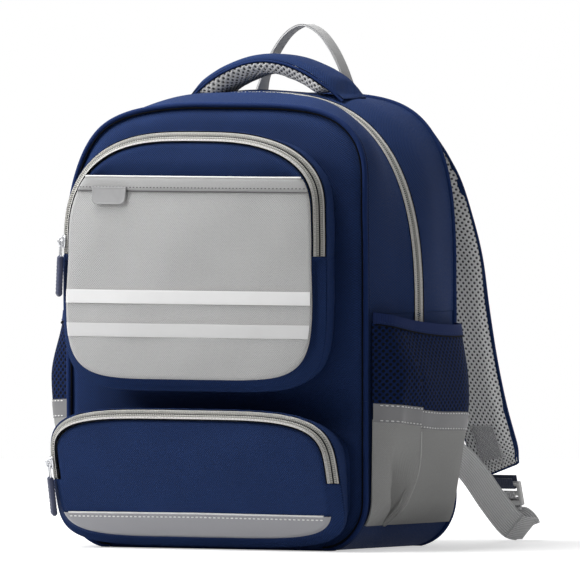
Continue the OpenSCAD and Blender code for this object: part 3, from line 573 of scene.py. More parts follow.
navy = cloth("navy_cloth", "#1c2f58", pitch=2.2, depth=0.5, vary=0.5, weave=0.9)
navy_fine = cloth("navy_lining_edge", "#14244a", pitch=1.0, depth=0.2)
navy_pipe = cloth("navy_piping", "#172b58", pitch=0.9, depth=0.2, vary=0.12)
grey = cloth("grey_cloth", "#b7b7b7", pitch=2.2, depth=0.4, vary=0.16, rough=0.7)
bind = cloth("grey_binding", "#b0b0b0", pitch=0.9, depth=0.18, vary=0.07, weave=0.2, rough=0.65)
side_grey = cloth("side_grey_cloth", "#a0a09f", depth=0.3, vary=0.18, weave=0.3)
# Near-black cords laid in seam valleys, gaps and under edges: painted shade
painted_seam_shade = cloth("painted_seam_shadow", "#04070f", pitch=0.6, depth=0.1, vary=0.1, rough=0.9)
# Light grey cord along a pleat's folded edge: painted highlight
painted_crease_highlight = cloth("side_crease_painted_highlight", "#c2c2c1", pitch=1.2, depth=0.2, vary=0.1)
# Grey darker than the zip tape: painted shade for the groove beside the coil and for the step of the side
# pockets' pleat
groove = cloth("zip_groove", "#adaca7", pitch=0.6, depth=0.1, vary=0.15, rough=0.85)
lining = cloth("grey_lining", "#9fa1a6", pitch=0.8, depth=0.1, vary=0.08, weave=0.15)
patch = cloth("strap_patch_cloth", "#b2b2b4", pitch=2.6, depth=0.6, vary=0.9, weave=0.7)
navy_mesh = airmesh("navy_airmesh", "#11244e", "#020408", 6.4, 5.8, 0.33)
strap_mesh = airmesh("grey_airmesh", "#f6f6f6", "#4a4a4c", 5.6, 5.2, 0.28)
pad_mesh = airmesh("pad_airmesh", "#b3b3b5", "#2b2b2d", 5.0, 4.6, 0.25, "Object", "xz")
web_grey = webbing("grey_webbing", "#cdcdce")
loop_grey = webbing("loop_webbing", "#c8c8c8", rib=1.7)
web_dark = webbing("dark_webbing", "#343a4d", rib=2.2)
elastic = webbing("navy_elastic", "#23315c", rib=1.6, depth=0.2, along="x", specular=0.05)
tape = tape_mat("zip_tape", "#dedcd8")
teeth = solid("zip_coil", "#cdccc7", 0.42, size=0.4, depth=0.03)
reflective = film("reflective_grey", "#919195")
# Darker copy of the reflective grey film for the side strips: painted shade of the sides that turn from the
# light
painted_shade_side_film = film("reflective_side_painted_shade", "#737375", rough=0.5)
white_film = film("reflective_white", "#e6e6e6", rough=0.5, metallic=0.0, sparkle=0.06)
silver_film = film("reflective_silver", "#d2d2d2", rough=0.45, metallic=0.0, sparkle=0.08)
chrome = solid("slider_metal", "#c6c7ca", 0.18, metallic=1.0, size=0.8, depth=0.02, vary=0.06)
rubber = solid("grip_rubber", "#1a2342", 0.5, size=0.35)
plastic = solid("lock_plastic", "#c4c4c3", 0.42, size=0.3, depth=0.03, vary=0.05)
label = solid("blank_label", "#a0a0a1", 0.55, size=0.4, vary=0.05)
# White for stitches and for the cord on the slip binding's top edge, which is a painted highlight
white_thread_and_highlight = thread("white_thread_and_painted_highlight", "#eeeeec")
thread_navy = thread("navy_thread", "#20345f")
# Dark grey for stitch holes and for the cord under the slip binding's lower edge, which is painted shade
dark_thread_and_shade = thread("stitch_hole_thread_and_painted_shade", "#6c6c6d", rough=0.8)
thread_grey = thread("grey_thread", "#a8a8a8")
CLOTH = {"slot": "navy_cloth", "lining": lining}


# Main shell

FRONT_BAND = [(-77.4, HALF, FRONT_TOP, FRONT_ROUND), (-45.8, 155.3, 395.6, 3.6),
              (-12.0, ZIP_HALF, 396.2, ZIP_ROUND)]
REAR_BAND = [(3.0, ZIP_HALF, 396.2, ZIP_ROUND), (32.4, 158.5, 396.6, 3.2),
             (77.6, 148.2, BACK_TOP, BACK_ROUND)]
FILL = [(-77.2, 0), (-41, 0.72), (ZIP_Y, 1), (36.5, 0.8), (DEPTH, 0)]  # swell of a side wall along the depth
PUCKER = 15.0  # pitch of the puckers along a seam
CLOTH_T, LINING_T = 3.4, 1.2
RADII = np.concatenate([1 - np.array([0, 0.006, 0.014, 0.024, 0.036, 0.05, 0.07, 0.095]),
                        np.linspace(0.87, 0, 22)])
INWARD = (1 - RADII)[None, :]


def band(stations, count, rows):
    """Grid of a gusset through arches (depth, half width, top, exponent)."""
    cols = []
    for y, half, top, n in spline(stations, rows):
        c = arch_line(half, top, n, count, SIDE_H)
        cols.append(xyz(c[:, 0], y, c[:, 1]))
    return np.stack(cols, 1)


def radial(p, z=200.0):
    return unit(p * [1, 0, 1] - [0, 0, z])


def crumple(p, out, amp, size, seed, seam=0.35, closed=False):
    """Slack cloth between two seams: soft folds inside, small puckers along both edges."""
    n = normals(p, out, closed)
    v = np.linspace(0, 1, p.shape[1])[None, :]
    width = np.linalg.norm(p[:, -1] - p[:, 0], axis=-1).mean()
    a, b = v * width, (1 - v) * width
    s = length_along(p[:, p.shape[1] // 2])[:, None]
    knots = s[::9, 0]
    jitter = np.interp(s, knots, np.random.RandomState(seed).uniform(-3, 3, len(knots)))
    puckers = seam * (np.exp(-a / 7) + np.exp(-b / 7)) * np.sin(2 * math.pi * (s + jitter) / PUCKER)
    d = amp * ripple(p, size, seed) * np.sin(math.pi * v) ** 0.6
    d = d + puckers * np.minimum(a / 2.5, 1) * np.minimum(b / 2.5, 1)
    return p + n * d[..., None]


def topstitch(name, p, n, k, body):
    stitches(name, p[:, k], n[:, k], thread_navy, body, pitch=3.6, r=0.3, lift=0.02)


def fill_at(y):
    fine = spline(FILL, 200)
    return np.interp(y, fine[:, 0], fine[:, 1])


def wall_x(y, z):
    """Half width of the bag at a point of its side wall."""
    q = np.maximum(BASE_R - z, 0)
    corner = HALF - BASE_R + np.sqrt(np.maximum(BASE_R ** 2 - q * q, 0))
    swell = (ZIP_HALF - HALF) * np.minimum(np.maximum(z, BASE_R) / SIDE_H, 1) ** 1.3
    return corner + swell * fill_at(y) * ease(z / BASE_R + 0.001)


def side_wall():
    y = np.linspace(-77.2, DEPTH, 41)[None, :]
    a = np.radians(np.linspace(90, 0, 16))
    z = np.concatenate([BASE_R - BASE_R * np.sin(a), np.linspace(BASE_R + 6, SIDE_H - 0.3, 26)])[:, None]
    return xyz(wall_x(y, z), y, z)


def sheet(half_x, half_y, nx, ny):
    x, y = np.linspace(-half_x, half_x, nx), np.linspace(-half_y, half_y, ny)
    return np.meshgrid(x, y, indexing="ij")


def panel_grid(top, n, count, inset, centre):
    """Grid (x, z) of a panel with an arched top and round bottom corners."""
    arch = arch_line(HALF - inset, top - inset, n, 300)
    line = ring(np.vstack([arch, round_feet(HALF - inset, inset, BASE_R - inset, 20)]), count)
    return disc(line, (0, centre), RADII)


for node, stations, body, seed in (("front_gusset", FRONT_BAND, "main_flap", 3),
                                   ("rear_gusset", REAR_BAND, "bag", 8)):
    p = band(stations, 230, 29)
    p = crumple(p, radial(p), 0.9, 95, seed)
    shell(f"{node}_cloth", p, CLOTH_T, navy, radial(p), body, nodes=(node,), **CLOTH)
    n = normals(p, radial(p))
    for tag, k in (("a", 2), ("b", 26)):
        topstitch(f"{node}_topstitch_{tag}", p, n, k, body)

for tag, s in SIDES[::-1]:
    shell(f"side_wall_cloth_{tag}", side_wall() * [s, 1, 1], CLOTH_T, navy, (s, 0, -0.3), "bag",
          nodes=(f"side_wall_{tag}",), **CLOTH)

x, y = sheet(103.2, 77.2, 61, 41)
shell("base_cloth", xyz(x, y, 0.02), 3.6, navy_fine, (0, 0, -1), "bag", nodes=("base_panel",), **CLOTH)

g = panel_grid(FRONT_TOP, FRONT_ROUND, 340, 1.7, 190)
soft = ease(INWARD / 0.06)
y = PANEL_Y + 3.2 * (1 - soft) - 0.4 * dimple(g, 80, 12) * soft
y = y - 8.0 * np.clip(INWARD / 0.24, 0, 1) ** 0.8 * ease((g[..., 1] - FOLD_Z) / 60)
fold = ((0, PANEL_Y * MM, (FOLD_Z - 6) * MM), (0, PANEL_Y * MM, (FOLD_Z + 6) * MM))
face("front_panel_cloth", g, y, CLOTH_T, navy, -1, ("bag", "main_flap", *fold),
     nodes=("front_panel_lower", "front_panel_upper"), **CLOTH)

g = panel_grid(BACK_TOP, BACK_ROUND, 340, 1.4, 195)
quilt = np.sin(math.pi * np.clip(INWARD / 0.12, 0, 1) / 2)
y = BACK_Y - 1.5 * (1 - quilt) + 0.5 * dimple(g, 70, 21) * quilt - 0.3
face("back_panel_cloth", g, y, 5.4, navy, 1, "bag", nodes=("back_panel",), **CLOTH)

g = panel_grid(BACK_TOP, BACK_ROUND, 260, 10, 195)
face("back_board_lining", g, 75.8 + 0.15 * dimple(g, 50, 2), LINING_T, lining, -1, "bag",
     nodes=("back_board",), slot="board")
x, y = sheet(102, 70, 41, 31)
shell("base_board_lining", xyz(x, y, 5.9 + 0.15 * ripple(xyz(x, y, 0), 40, 4)), LINING_T, lining, (0, 0, 1),
      "bag", nodes=("base_board",), slot="board")


# Piping along the seams

PIPE_Y, BACK_PIPE_Y, PIPE_R = -79.7, 80.4, 2.35


def pipe_corner(s):
    a = np.radians(np.linspace(0, 86, 18))
    return np.stack([s * (HALF - BASE_R + BASE_R * np.cos(a)), BASE_R - BASE_R * np.sin(a)], 1)


def pipe(name, c, y, body, node, thin=()):
    """Piping along the line c (x, z), tapered at the ends in thin, with painted seam shade beside the front
    one: near-black cords in the valleys on both sides.
    """
    c = resample(c, max(int(length_along(c)[-1] / 4), 12))
    path = xyz(c[:, 0], y, c[:, 1])
    s = length_along(c)
    size = PIPE_R * (1 + 0.03 * ripple(path, 30, 6))
    for end in thin:
        size = size * mix(0.5, 1, ease((s if end == 0 else s[-1] - s) / 40))
    path[:, 2] = np.maximum(path[:, 2], size + 0.1)
    tube(name, path, size, navy_pipe, body, sides=14, nodes=(node,), slot="piping")
    d = tangent(c)
    n = np.stack([d[:, 1], -d[:, 0]], 1)
    n = n if (n * (c - [0, 190])).sum() > 0 else -n
    # near-black cords on both sides of the front piping: painted shade in the seam valleys
    for k, (a, b) in enumerate(((-PIPE_R - 0.55, -1.0), (0.75, PIPE_R + 0.45)) if y < 0 else ()):
        q = c + n * a
        tube(f"{name}_seam_{k}", xyz(q[:, 0], y + b, np.maximum(q[:, 1], 1.0)), 0.8, painted_seam_shade, body)


arc = arch_line(HALF, FRONT_TOP, FRONT_ROUND, 300)
ends = [[[s * HALF, FOLD_Z + 0.1]] for s in (1, -1)]
pipe("front_piping_top", np.vstack([ends[0], arc, ends[1]]), PIPE_Y, "main_flap", "front_piping_upper")
for tag, s in SIDES:
    c = np.vstack([[[s * HALF, FOLD_Z - 0.1]], pipe_corner(s)])
    pipe(f"front_piping_{tag}", c, PIPE_Y, "bag", "front_piping_lower", thin=(1,))
arc = arch_line(HALF, BACK_TOP, BACK_ROUND, 300)
c = np.vstack([pipe_corner(1)[::-1], arc, pipe_corner(-1)])
pipe("back_piping_cord", c, BACK_PIPE_Y, "bag", "back_piping", thin=(0, 1))


# Gores at both ends of the main opening: they lie folded inside the seam

HINGE_Y, SWING, GORE_DEPTH = -132.3, math.radians(40), 10.0
GORE_Y, GORE_RUN = -77.0, 65.0  # front end of a gore's seam and its length to the zip


def gore(tag, s):
    k, m = np.meshgrid(np.linspace(0, 1, 41), np.linspace(0, 1, 45), indexing="ij")
    rise, run = np.minimum(m / 0.45, 1), np.maximum((m - 0.45) / 0.55, 0)
    y = mix(mix(-74.5, -76.6, k), -13 - 13 * np.sin(math.pi * ease(k)), run)
    z = mix(FOLD_Z - 6 * (1 - k), SIDE_H + mix(-6, 6, k), rise)
    x0, x1 = HALF + 1.6 * (s + 1) - 5.2, ZIP_HALF - 5.2
    x = mix(x0, x1, (y - GORE_Y) / GORE_RUN) - GORE_DEPTH * k + 0.6 * np.sin(6 * math.pi * k) * m
    q = xyz(s * x, y, z).reshape(-1, 3)
    leaned = q.copy()
    settle(leaned)
    a, dy, dz = SWING * ease(k), y - HINGE_Y, z - FOLD_Z
    spread = np.stack([dy * np.cos(a) - dz * np.sin(a), dy * np.sin(a) + dz * np.cos(a)], -1)
    lean = math.atan2(x1 - x0, GORE_RUN)
    inward = np.array([-s * math.cos(lean), math.sin(lean), 0]) * GORE_DEPTH * math.cos(lean)
    start = np.array([s * x0, GORE_Y, SIDE_H])
    body = ("bag", "main_flap", tuple(start * MM), tuple((start + inward) * MM))
    make(f"main_gore_{tag}", 2 * q - leaned, quads(*k.shape), navy, body, spread.reshape(-1, 2),
         slot="navy_cloth")


for tag, s in SIDES[::-1]:
    gore(tag, s)


# Zips: two tapes with interlocking coil teeth

TOOTH = (
    np.array([[a * 0.42, b, -0.5] for a in (-1, 1) for b in (-0.75, 1.0)]
             + [[a * 0.28, b, 0.5] for a in (-1, 1) for b in (-0.6, 0.8)]),
    [[0, 1, 3, 2], [4, 6, 7, 5], [0, 4, 5, 1], [2, 3, 7, 6], [0, 2, 6, 4], [1, 5, 7, 3]],
)
TOOTH_PITCH = 1.8
TAPE_H = np.array([-0.5, 0.15, 0.4, 0.4, 0.35, 0.35, 0.4, 0.5, 0.5, 0.45, 0.2, -0.1])
GROOVE_W = np.array([3.3, 2.9, 2.4, 1.6, 0.9, 0.55])
GROOVE_H = np.array([-0.2, -0.35, -0.35, -0.3, -0.3, -0.35])
MAIN_REACH, RIM_REACH, FACE_REACH = 7.3, 4.8, 6.0  # width of a tape from the slit
SLOPE = math.hypot(BORDER, STEP)


def zip_half(name, c, across, out, s, reach, body, nodes=(), line=0.6):
    """One side of a zip along the line c; s = 1 lies along the across direction."""
    tape_w = [reach - np.array([0, 0.25, 0.8]), np.linspace(reach - 1.4, 3.7, 6), [3.4, 3.2, 3.1]]

    def skin(part, w, h, mat, nodes):
        p = c[:, None] + s * across[:, None] * w[None, :, None] + out[:, None] * h[None, :, None]
        shell(f"{name}_{part}", p, 0.6, mat, out[:, None] + 0 * p, body, nodes=nodes, slot="zip_tape")
        return p

    sewn = skin("tape", np.concatenate(tape_w), TAPE_H, tape, nodes)[:, 4]
    # the groove strip beside the coil is darker than the tape as painted shade
    skin("groove", GROOVE_W, GROOVE_H, groove, ())
    # dark cords along the tape's sewn edge and, on one side, in the slit between the coils: painted shade
    tube(f"{name}_seam", c + s * across * (reach + 0.35) + out * 0.1, line, painted_seam_shade, body)
    if s > 0:
        tube(f"{name}_slit", c - out * 0.25, 0.42, painted_seam_shade, body)
    length = length_along(c)
    k = np.arange(0.8 + (TOOTH_PITCH / 2 if s > 0 else 0), length[-1] - 0.6, TOOTH_PITCH)
    at, o, a, t = sample(k, length, c, out, across, np.gradient(c, axis=0))
    axes = np.stack([unit(t), s * a, o], 1)
    parts(f"{name}_teeth", at + s * a * 1.75 + o * 0.45, axes, TOOTH, teeth, body, slot="zip_tape", sharp=30)
    stitches(f"{name}_stitch", sewn, out, thread_grey, body, pitch=3.2, r=0.26, lift=0.0)


def outward(c, z=200.0):
    """Directions square to the line c that lead away from the middle at the height z."""
    r = unit(np.cross(tangent(c), [0, 1, 0]))
    return r if (r * radial(c, z)).sum() > 0 else -r


def leaf(p, base, flap):
    """Fold of a pocket's face, from the sewn part to the leaf."""
    return base, flap, (0, p.face * MM, p.mid * MM), (0, p.face * MM, (p.mid + 11) * MM)


def pocket_zip(tag, p, stop, base, flap):
    c2 = edge_line(p, BORDER / 2, 0, 180, 520)
    c2 = c2[c2[:, 1] >= p.mid + 0.3]
    c = xyz(c2[:, 0], p.face - STEP / 2 + tilt(p, c2[:, 1]), c2[:, 1])
    r, fore = outward(c, p.mid), np.array([0, -1.0, 0])
    across = -r * BORDER / SLOPE + fore * STEP / SLOPE
    out = r * STEP / SLOPE + fore * BORDER / SLOPE
    foot = (c[:, 0] < 0) & (c[:, 2] < stop)
    zip_half(f"{tag}_zip_rim", c, across, out, -1, RIM_REACH, base, (f"{tag}_zip_outer",))
    zip_half(f"{tag}_zip_foot", c[foot], across[foot], out[foot], 1, FACE_REACH, base)
    zip_half(f"{tag}_zip_face", c[~foot], across[~foot], out[~foot], 1, FACE_REACH, leaf(p, base, flap),
             (f"{tag}_zip_inner",))


c2 = arch_line(ZIP_HALF, ZIP_TOP, ZIP_ROUND, 420, SIDE_H - 9)
c = xyz(c2[:, 0], ZIP_Y, c2[:, 1])
across = np.tile([0.0, 1.0, 0.0], (len(c), 1))
zip_half("main_zip_back", c, across, outward(c), 1, MAIN_REACH, "bag", ("main_zip_rear",), line=0.75)
zip_half("main_zip_fore", c, across, outward(c), -1, MAIN_REACH, "main_flap", ("main_zip_front",), line=0.5)
pocket_zip("upper", UP, 288.0, "main_flap", "upper_flap")
pocket_zip("lower", LOW, 90.9, "bag", "lower_flap")


# Front pockets

FACE_STEPS = np.array([0, 0.008, 0.018, 0.03, 0.044, 0.058, 0.066, 0.074, 0.082, 0.092, 0.104, 0.12, 0.14])
FACE_RADII = np.concatenate([1 - FACE_STEPS, np.linspace(0.83, 0, 24)])
FACE_SPAN = 110.0  # rough distance from a face's edge to its middle


def pocket_gusset(tag, p, body, seed):
    rows = spline([(PANEL_Y - 0.3, 11, 0), (mix(PANEL_Y, p.face, 0.5), 3, 0.5), (p.face, 0, 1)], 15)
    cols = [edge_line(p, inset, 0, 360, 361)[:-1] for _, inset, _ in rows]
    g = np.stack([xyz(c[:, 0], y + k * tilt(p, c[:, 1]), c[:, 1]) for c, (y, _, k) in zip(cols, rows)], 1)
    out = g * [1, 0, 1] - [0, 0, p.mid]
    g = crumple(g, out, 0.7, 60, seed, seam=0.3, closed=True)
    shell(f"{tag}_gusset_cloth", g, 2.6, navy, out, body, closed=True,
          nodes=(f"{tag}_pocket_gusset",), **CLOTH)
    topstitch(f"{tag}_gusset_cloth_topstitch", g, normals(g, out, True), -2, body)


def face_outline(p):
    """Outline of a face that is cut back for the zip above the fold and full below it."""
    up = edge_line(p, 10.1, 0, 180, 1200)
    up = resample(up[up[:, 1] >= p.mid + 0.5], 230)
    up[:, 0] += np.where(up[:, 0] < 0, 1.4, 0) * ease((p.mid + 30 - up[:, 1]) / 10)
    low = edge_line(p, 0.0, 180, 360, 1200)
    low = resample(low[low[:, 1] <= p.mid], 240)
    joins = [resample(np.array(q), 8)[1:-1] for q in ((up[-1], low[0]), (low[-1], up[0]))]
    return np.vstack([up, joins[0], low, joins[1]])


def pocket_face(tag, p, base, flap, seed, recess=None):
    g = disc(face_outline(p), (0, p.mid - 0.35 * p.drop), FACE_RADII)
    x, z = g[..., 0], g[..., 1]
    d = (outline_radius(p, x, z) - 1) * (p.half - BORDER)
    below = ease((p.mid + 3 - z) / 6)
    edge = (1 - FACE_RADII)[None, :] * FACE_SPAN
    y = face_y(p, x, z) - 0.3 + 1.5 * np.exp(-(d / 1.5) ** 2) * below
    y = y + (1 - below) * 1.6 * np.clip(1 - edge / 3.5, 0, 1) ** 2
    y = y - 0.6 * dimple(g, 75, seed) * ease(edge / 22)
    if recess is not None:
        y = y + 3.4 * ease((recess + 15 - z) / 17) * ease(edge / 8)
    face(f"{tag}_face_cloth", g, y, 2.4, navy, -1, leaf(p, base, flap),
         nodes=(f"{tag}_pocket_face", f"{tag}_pocket_flap"), **CLOTH)


pocket_gusset("upper", UP, "main_flap", 31)
pocket_gusset("lower", LOW, "bag", 32)
pocket_face("upper", UP, "main_flap", "upper_flap", 33, recess=SLIP_TOP)
pocket_face("lower", LOW, "bag", "lower_flap", 34)


# Grey slip panel over the upper face, with its binding, stripes and label tab

def slip_wide(x, z):
    return 1 + np.where(x < 0, 0.034, 0.008) * ease((UP.mid - z) / 45)


def trim(name, z0, z1, share, lift, t, mat, body, node, crown, slot):
    """Flat trim with soft edges across the slip panel; returns its grid."""
    v = (1 - np.cos(np.linspace(0, math.pi, 13))) / 2
    u = np.sin(np.linspace(-math.pi / 2, math.pi / 2, 81))[:, None]
    z = mix(z0, z1, v)[None, :] + 0 * u
    x = u * edge_x(UP, SLIP_INSET, z) * share
    x = x * slip_wide(x, z)
    y = face_y(UP, x, z) - lift - crown * (1 - np.abs(2 * v - 1) ** 5)[None, :] * (1 - np.abs(u) ** 40)
    q = xyz(x, y, z)
    shell(name, q, t, mat, (0, -1, 0), body, nodes=(node,), slot=slot)
    return q


def slip_panel():
    top = edge_line(UP, SLIP_INSET, 0, 180, 1200)
    top[:, 1] = np.minimum(top[:, 1], SLIP_TOP)
    low = edge_line(UP, SLIP_INSET, 180, 360, 1200)
    low[:, 0] *= slip_wide(low[:, 0], low[:, 1])
    g = disc(resample(np.vstack([top, low]), 401)[:-1], (0, 245), RADII)
    edge = INWARD * FACE_SPAN
    y = face_y(UP, g[..., 0], g[..., 1]) - 1.8 + 0.9 * np.clip(1 - edge / 3, 0, 1) ** 2
    y = y - 0.5 * dimple(g, 85, 41) * ease(edge / 20)
    face("slip_panel_cloth", g, y, 1.1, grey, -1, leaf(UP, "main_flap", "upper_flap"),
         nodes=("slip_panel_lower", "slip_panel_upper"), slot="grey_cloth")


def label_tab():
    half, high, r = 17.0, 7.5, 5.0
    line = ring(np.vstack([round_feet(half, -high, r, 10), [[half, high], [-half, high]]]), 120)
    lo, hi = (np.array(q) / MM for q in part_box("label_tab"))
    mid = (lo + hi) / 2
    g = disc(line, (0, 0), [1, 0.985, 0.955, 0.92, 0.88, 0.84, 0.6, 0.3, 0]) + [mid[0] + 1.5, mid[2] + 2.5]
    h = np.array([0, 0.35, 0.5, 0.5, 0.34, 0.3, 0.3, 0.3, 0.3])
    face("label_tab_blank", g, lo[1] - h, 1.0, label, -1, "upper_flap",
         nodes=("label_tab",), slot="grey_cloth")


slip_panel()
q = trim("slip_binding_cloth", SLIP_TOP - 12, SLIP_TOP + 0.4, 1.0, 2.0, 1.0, bind, "upper_flap",
         "slip_binding", 1.3, "grey_cloth")
stitches("slip_binding_stitch", q[2:-2, 4], (0, -1, 0), dark_thread_and_shade, "upper_flap",
         pitch=3.4, r=0.45, lift=0.0, fill=0.5)
# white cord along the binding's top edge: painted highlight on its rounded fold
tube("slip_binding_top", q[1:-1, -1] + [0, -0.4, 0.1], 0.8, white_thread_and_highlight, "upper_flap", ref=(0, 0, 1))
# dark cord along the binding's lower edge: painted shade under the raised binding
tube("slip_binding_foot", q[1:-1, 0] + [0, -0.2, -0.2], 0.55, dark_thread_and_shade, "upper_flap", ref=(0, 0, 1))
for k, mat in enumerate((white_film, silver_film)):
    z = UP.mid - 30 - 29 * k
    trim(f"reflective_stripe_{k + 1}", z - 11.8, z, 0.99, 2.35, 0.4, mat, "main_flap",
         "reflective_stripes", 0.15, "white_trim")
label_tab()


# Reflective strip along the foot of the lower pocket

STRIP_INSET, STRIP_TOP, STRIP_CROWN = BORDER - 1.6, 31.0, 0.8


def lower_strip():
    low = edge_points(LOW, STRIP_INSET, 180, 360, 1500)
    low = low[low[:, 1] <= STRIP_TOP]
    top = resample(np.array([low[-1], [0, STRIP_TOP + STRIP_CROWN], low[0]]), 60)[1:-1]
    g = disc(ring(np.vstack([low, top]), 340), (0, 21), RADII)
    y = face_y(LOW, g[..., 0], g[..., 1]) - 1.6 + 0.7 * np.clip(1 - INWARD * 30 / 1.5, 0, 1) ** 2
    face("lower_strip_film", g, y, 0.9, reflective, -1, "bag",
         nodes=("lower_pocket_strip",), slot="reflective")
    end = edge_x(LOW, STRIP_INSET, np.array(28.0)) - 5
    x = np.linspace(-end, end, 120)
    z = STRIP_TOP + STRIP_CROWN * (1 - np.abs(x / 134))
    rows = [xyz(x, face_y(LOW, x, z + dz) - lift, z + dz) for dz, lift in ((-3.2, 1.7), (0.1, 1.3))]
    stitches("lower_strip_stitch", rows[0], (0, -1, 0), white_thread_and_highlight, "bag",
             pitch=4.4, r=0.55, lift=0.1, fill=0.62)
    tube("lower_strip_edge", rows[1], 0.75, white_thread_and_highlight, "bag", ref=(0, 0, 1))


lower_strip()


# Side pockets, each with a pleat whose front part laps over its rear part

RIDGE = [(0, -42), (24, -36), (42, -29), (60, -25), (82, -26), (106, -30), (128, -33), (160, -41),
         (195, -50), (210, -52)]  # height and depth of the pleat's fold
DIP_Z, DIP_REACH, DIP_DEEP = np.array([(0, 6, 0), (22, 7, 3), (32, 12, 13), (53, 27, 17.5), (72, 33, 11),
                                       (90, 35, 3), (106, 36, 0), (220, 36, 0)], float).T
SIDE_FOOT, SIDE_TOP, SIDE_OUT, SIDE_Y = 22.0, 205.0, 29.0, 75.5
SIDE_ROWS, SIDE_COLS = 30, 44
HEM_TURNS = ((0.9, 0.5), (1.1, 1.4), (0.3, 2.2), (-2.5, 2.7))  # turned edge of the front part


def ridge_y(z):
    fine = spline(RIDGE, 120)
    return np.interp(z, fine[:, 0], fine[:, 1])


def side_x(y, z):
    """Fullness of the pocket without its folds."""
    u = np.minimum(np.abs(y) / SIDE_Y, 1)
    v = np.clip((z - SIDE_FOOT) / (SIDE_TOP - SIDE_FOOT), 0, 1)
    swell = np.sin(v * math.radians(128)) ** 0.62 * (1 - 0.42 * ease((v - 0.68) / 0.32))
    return wall_x(y, z) + 2.1 + SIDE_OUT * (1 - u ** 7) * swell * (1 - 0.35 * fill_at(y) * z / SIDE_H)


def side_line(y, front, back, sag):
    t = (y / SIDE_Y + 1) / 2
    return mix(front, back, t) - sag * 4 * t * (1 - t)


def mouth(y, down=0.0):
    return side_line(y, SIDE_TOP + 2.5, SIDE_TOP - 9.5, 5) - down


def strip_top(y, part):
    return side_line(y, 128.5, 117, 1) - (1.9 * ease((50 - y) / 60) if part == "rear" else 0)


def pleat_low(z):
    return ease((106 - z) / 30)


def side_fold(y, z, part):
    """Outward shape of the pocket cloth: pleat, valley and soft folds."""
    r, low = ridge_y(z), pleat_low(z)
    deep = np.sin(math.pi * np.clip((z - 8) / 190, 0, 1)) ** 0.6 * ease((196 - z) / 30)
    x = 0.9 * ripple(xyz(0 * y, y, z), 62, 51) * np.clip((SIDE_Y - np.abs(y)) / 20, 0, 1)
    x = x * ease((z - SIDE_FOOT) / 20) + 4.5 * np.exp(-((y + 65) / 8) ** 2) * np.exp(-((z - 125) / 48) ** 2)
    if part == "front":
        x = x + (2.2 * deep * (1 - low) + 1.2 * low) * np.exp(-((r - y) / mix(13, 5, low)) ** 2)
        reach = np.interp(z, DIP_Z, DIP_REACH)
        d = y - r + reach
        valley = np.where(d < 0, np.exp(-(d / 4) ** 2), 1 - ease((d / reach - 0.2) / 0.75))
        x = x - np.interp(z, DIP_Z, DIP_DEEP) * valley
    if part == "rear":
        x = x - mix(2.0 * deep, 2.4, low) * ease((r + mix(14, 5, low) - y) / mix(22, 9, low))
    return x


def side_skin(y, z, part):
    """The folded cloth, never closer than 2 mm to the wall behind it."""
    near = wall_x(y, z) + 2.0
    gap = side_x(y, z) + side_fold(y, z, part) - near
    return near + np.where(gap > 4, gap, 4 * np.exp(np.minimum(gap - 4, 0) / 4))


def side_cloth(name, s, low, high, lift, t, mat, part, nodes, slot, rows=SIDE_ROWS, cols=SIDE_COLS):
    """Piece of a side pocket between two lines given as functions of the depth; returns its grid."""
    v = np.linspace(0, 1, rows)[None, :]
    u = np.linspace(0, 1, cols)[:, None]
    y = mix(-SIDE_Y, SIDE_Y, u) + 0 * v
    z = mix(low(y), high(y), v)
    for _ in range(4):
        if part == "front":
            y = mix(-SIDE_Y, ridge_y(z), u)
        if part == "rear":
            y = mix(ridge_y(z) - mix(13, 7, pleat_low(z)), SIDE_Y, u)
        z = mix(low(y), high(y), v)
    p = xyz(side_skin(y, z, part) + lift, y, z)
    if part == "front":
        p = np.concatenate([p] + [p[-1:] + [-dx, dy, 0] for dy, dx in HEM_TURNS])
    run = np.cumsum(np.linalg.norm(np.diff(p[..., :2], axis=0), axis=-1), axis=0)
    uv = np.stack([np.vstack([np.zeros((1, rows)), run]), p[..., 2]], -1)
    p = p * [s, 1, 1]
    shell(name, p, t, mat, (s, 0, 0), "bag", nodes=nodes, slot=slot, uv=uv)
    return p


def side_half(tag, s, part):
    """Grey panel, mesh and reflective strip on one side of the pleat."""
    def strip(down):
        return lambda y: strip_top(y, part) - down

    def nodes(name):
        return (name,) if part == "front" else ()

    side_cloth(f"side_lower_{tag}_{part}", s, lambda y: SIDE_FOOT + 0 * y, strip(14), 0, 1.6, side_grey, part,
               nodes("side_lowers"), "side_grey")
    side_cloth(f"side_mesh_{tag}_{part}", s, strip(2), lambda y: mouth(y, 8), 0, 1.6, navy_mesh, part,
               nodes(f"side_mesh_{tag}"), "navy_mesh")
    # the side strips take the darker film, painted shade
    p = side_cloth(f"side_strip_{tag}_{part}", s, strip(16), strip(0), 0.75, 0.8, painted_shade_side_film, part,
                   nodes("side_strips"), "reflective", rows=12)
    for k, row in (("a", 1), ("b", 10)):
        stitches(f"side_strip_{tag}_{part}_stitch_{k}", p[2:SIDE_COLS, row], (s, 0, 0), white_thread_and_highlight, "bag",
                 pitch=4.6, r=0.5, lift=0.1, fill=0.6)


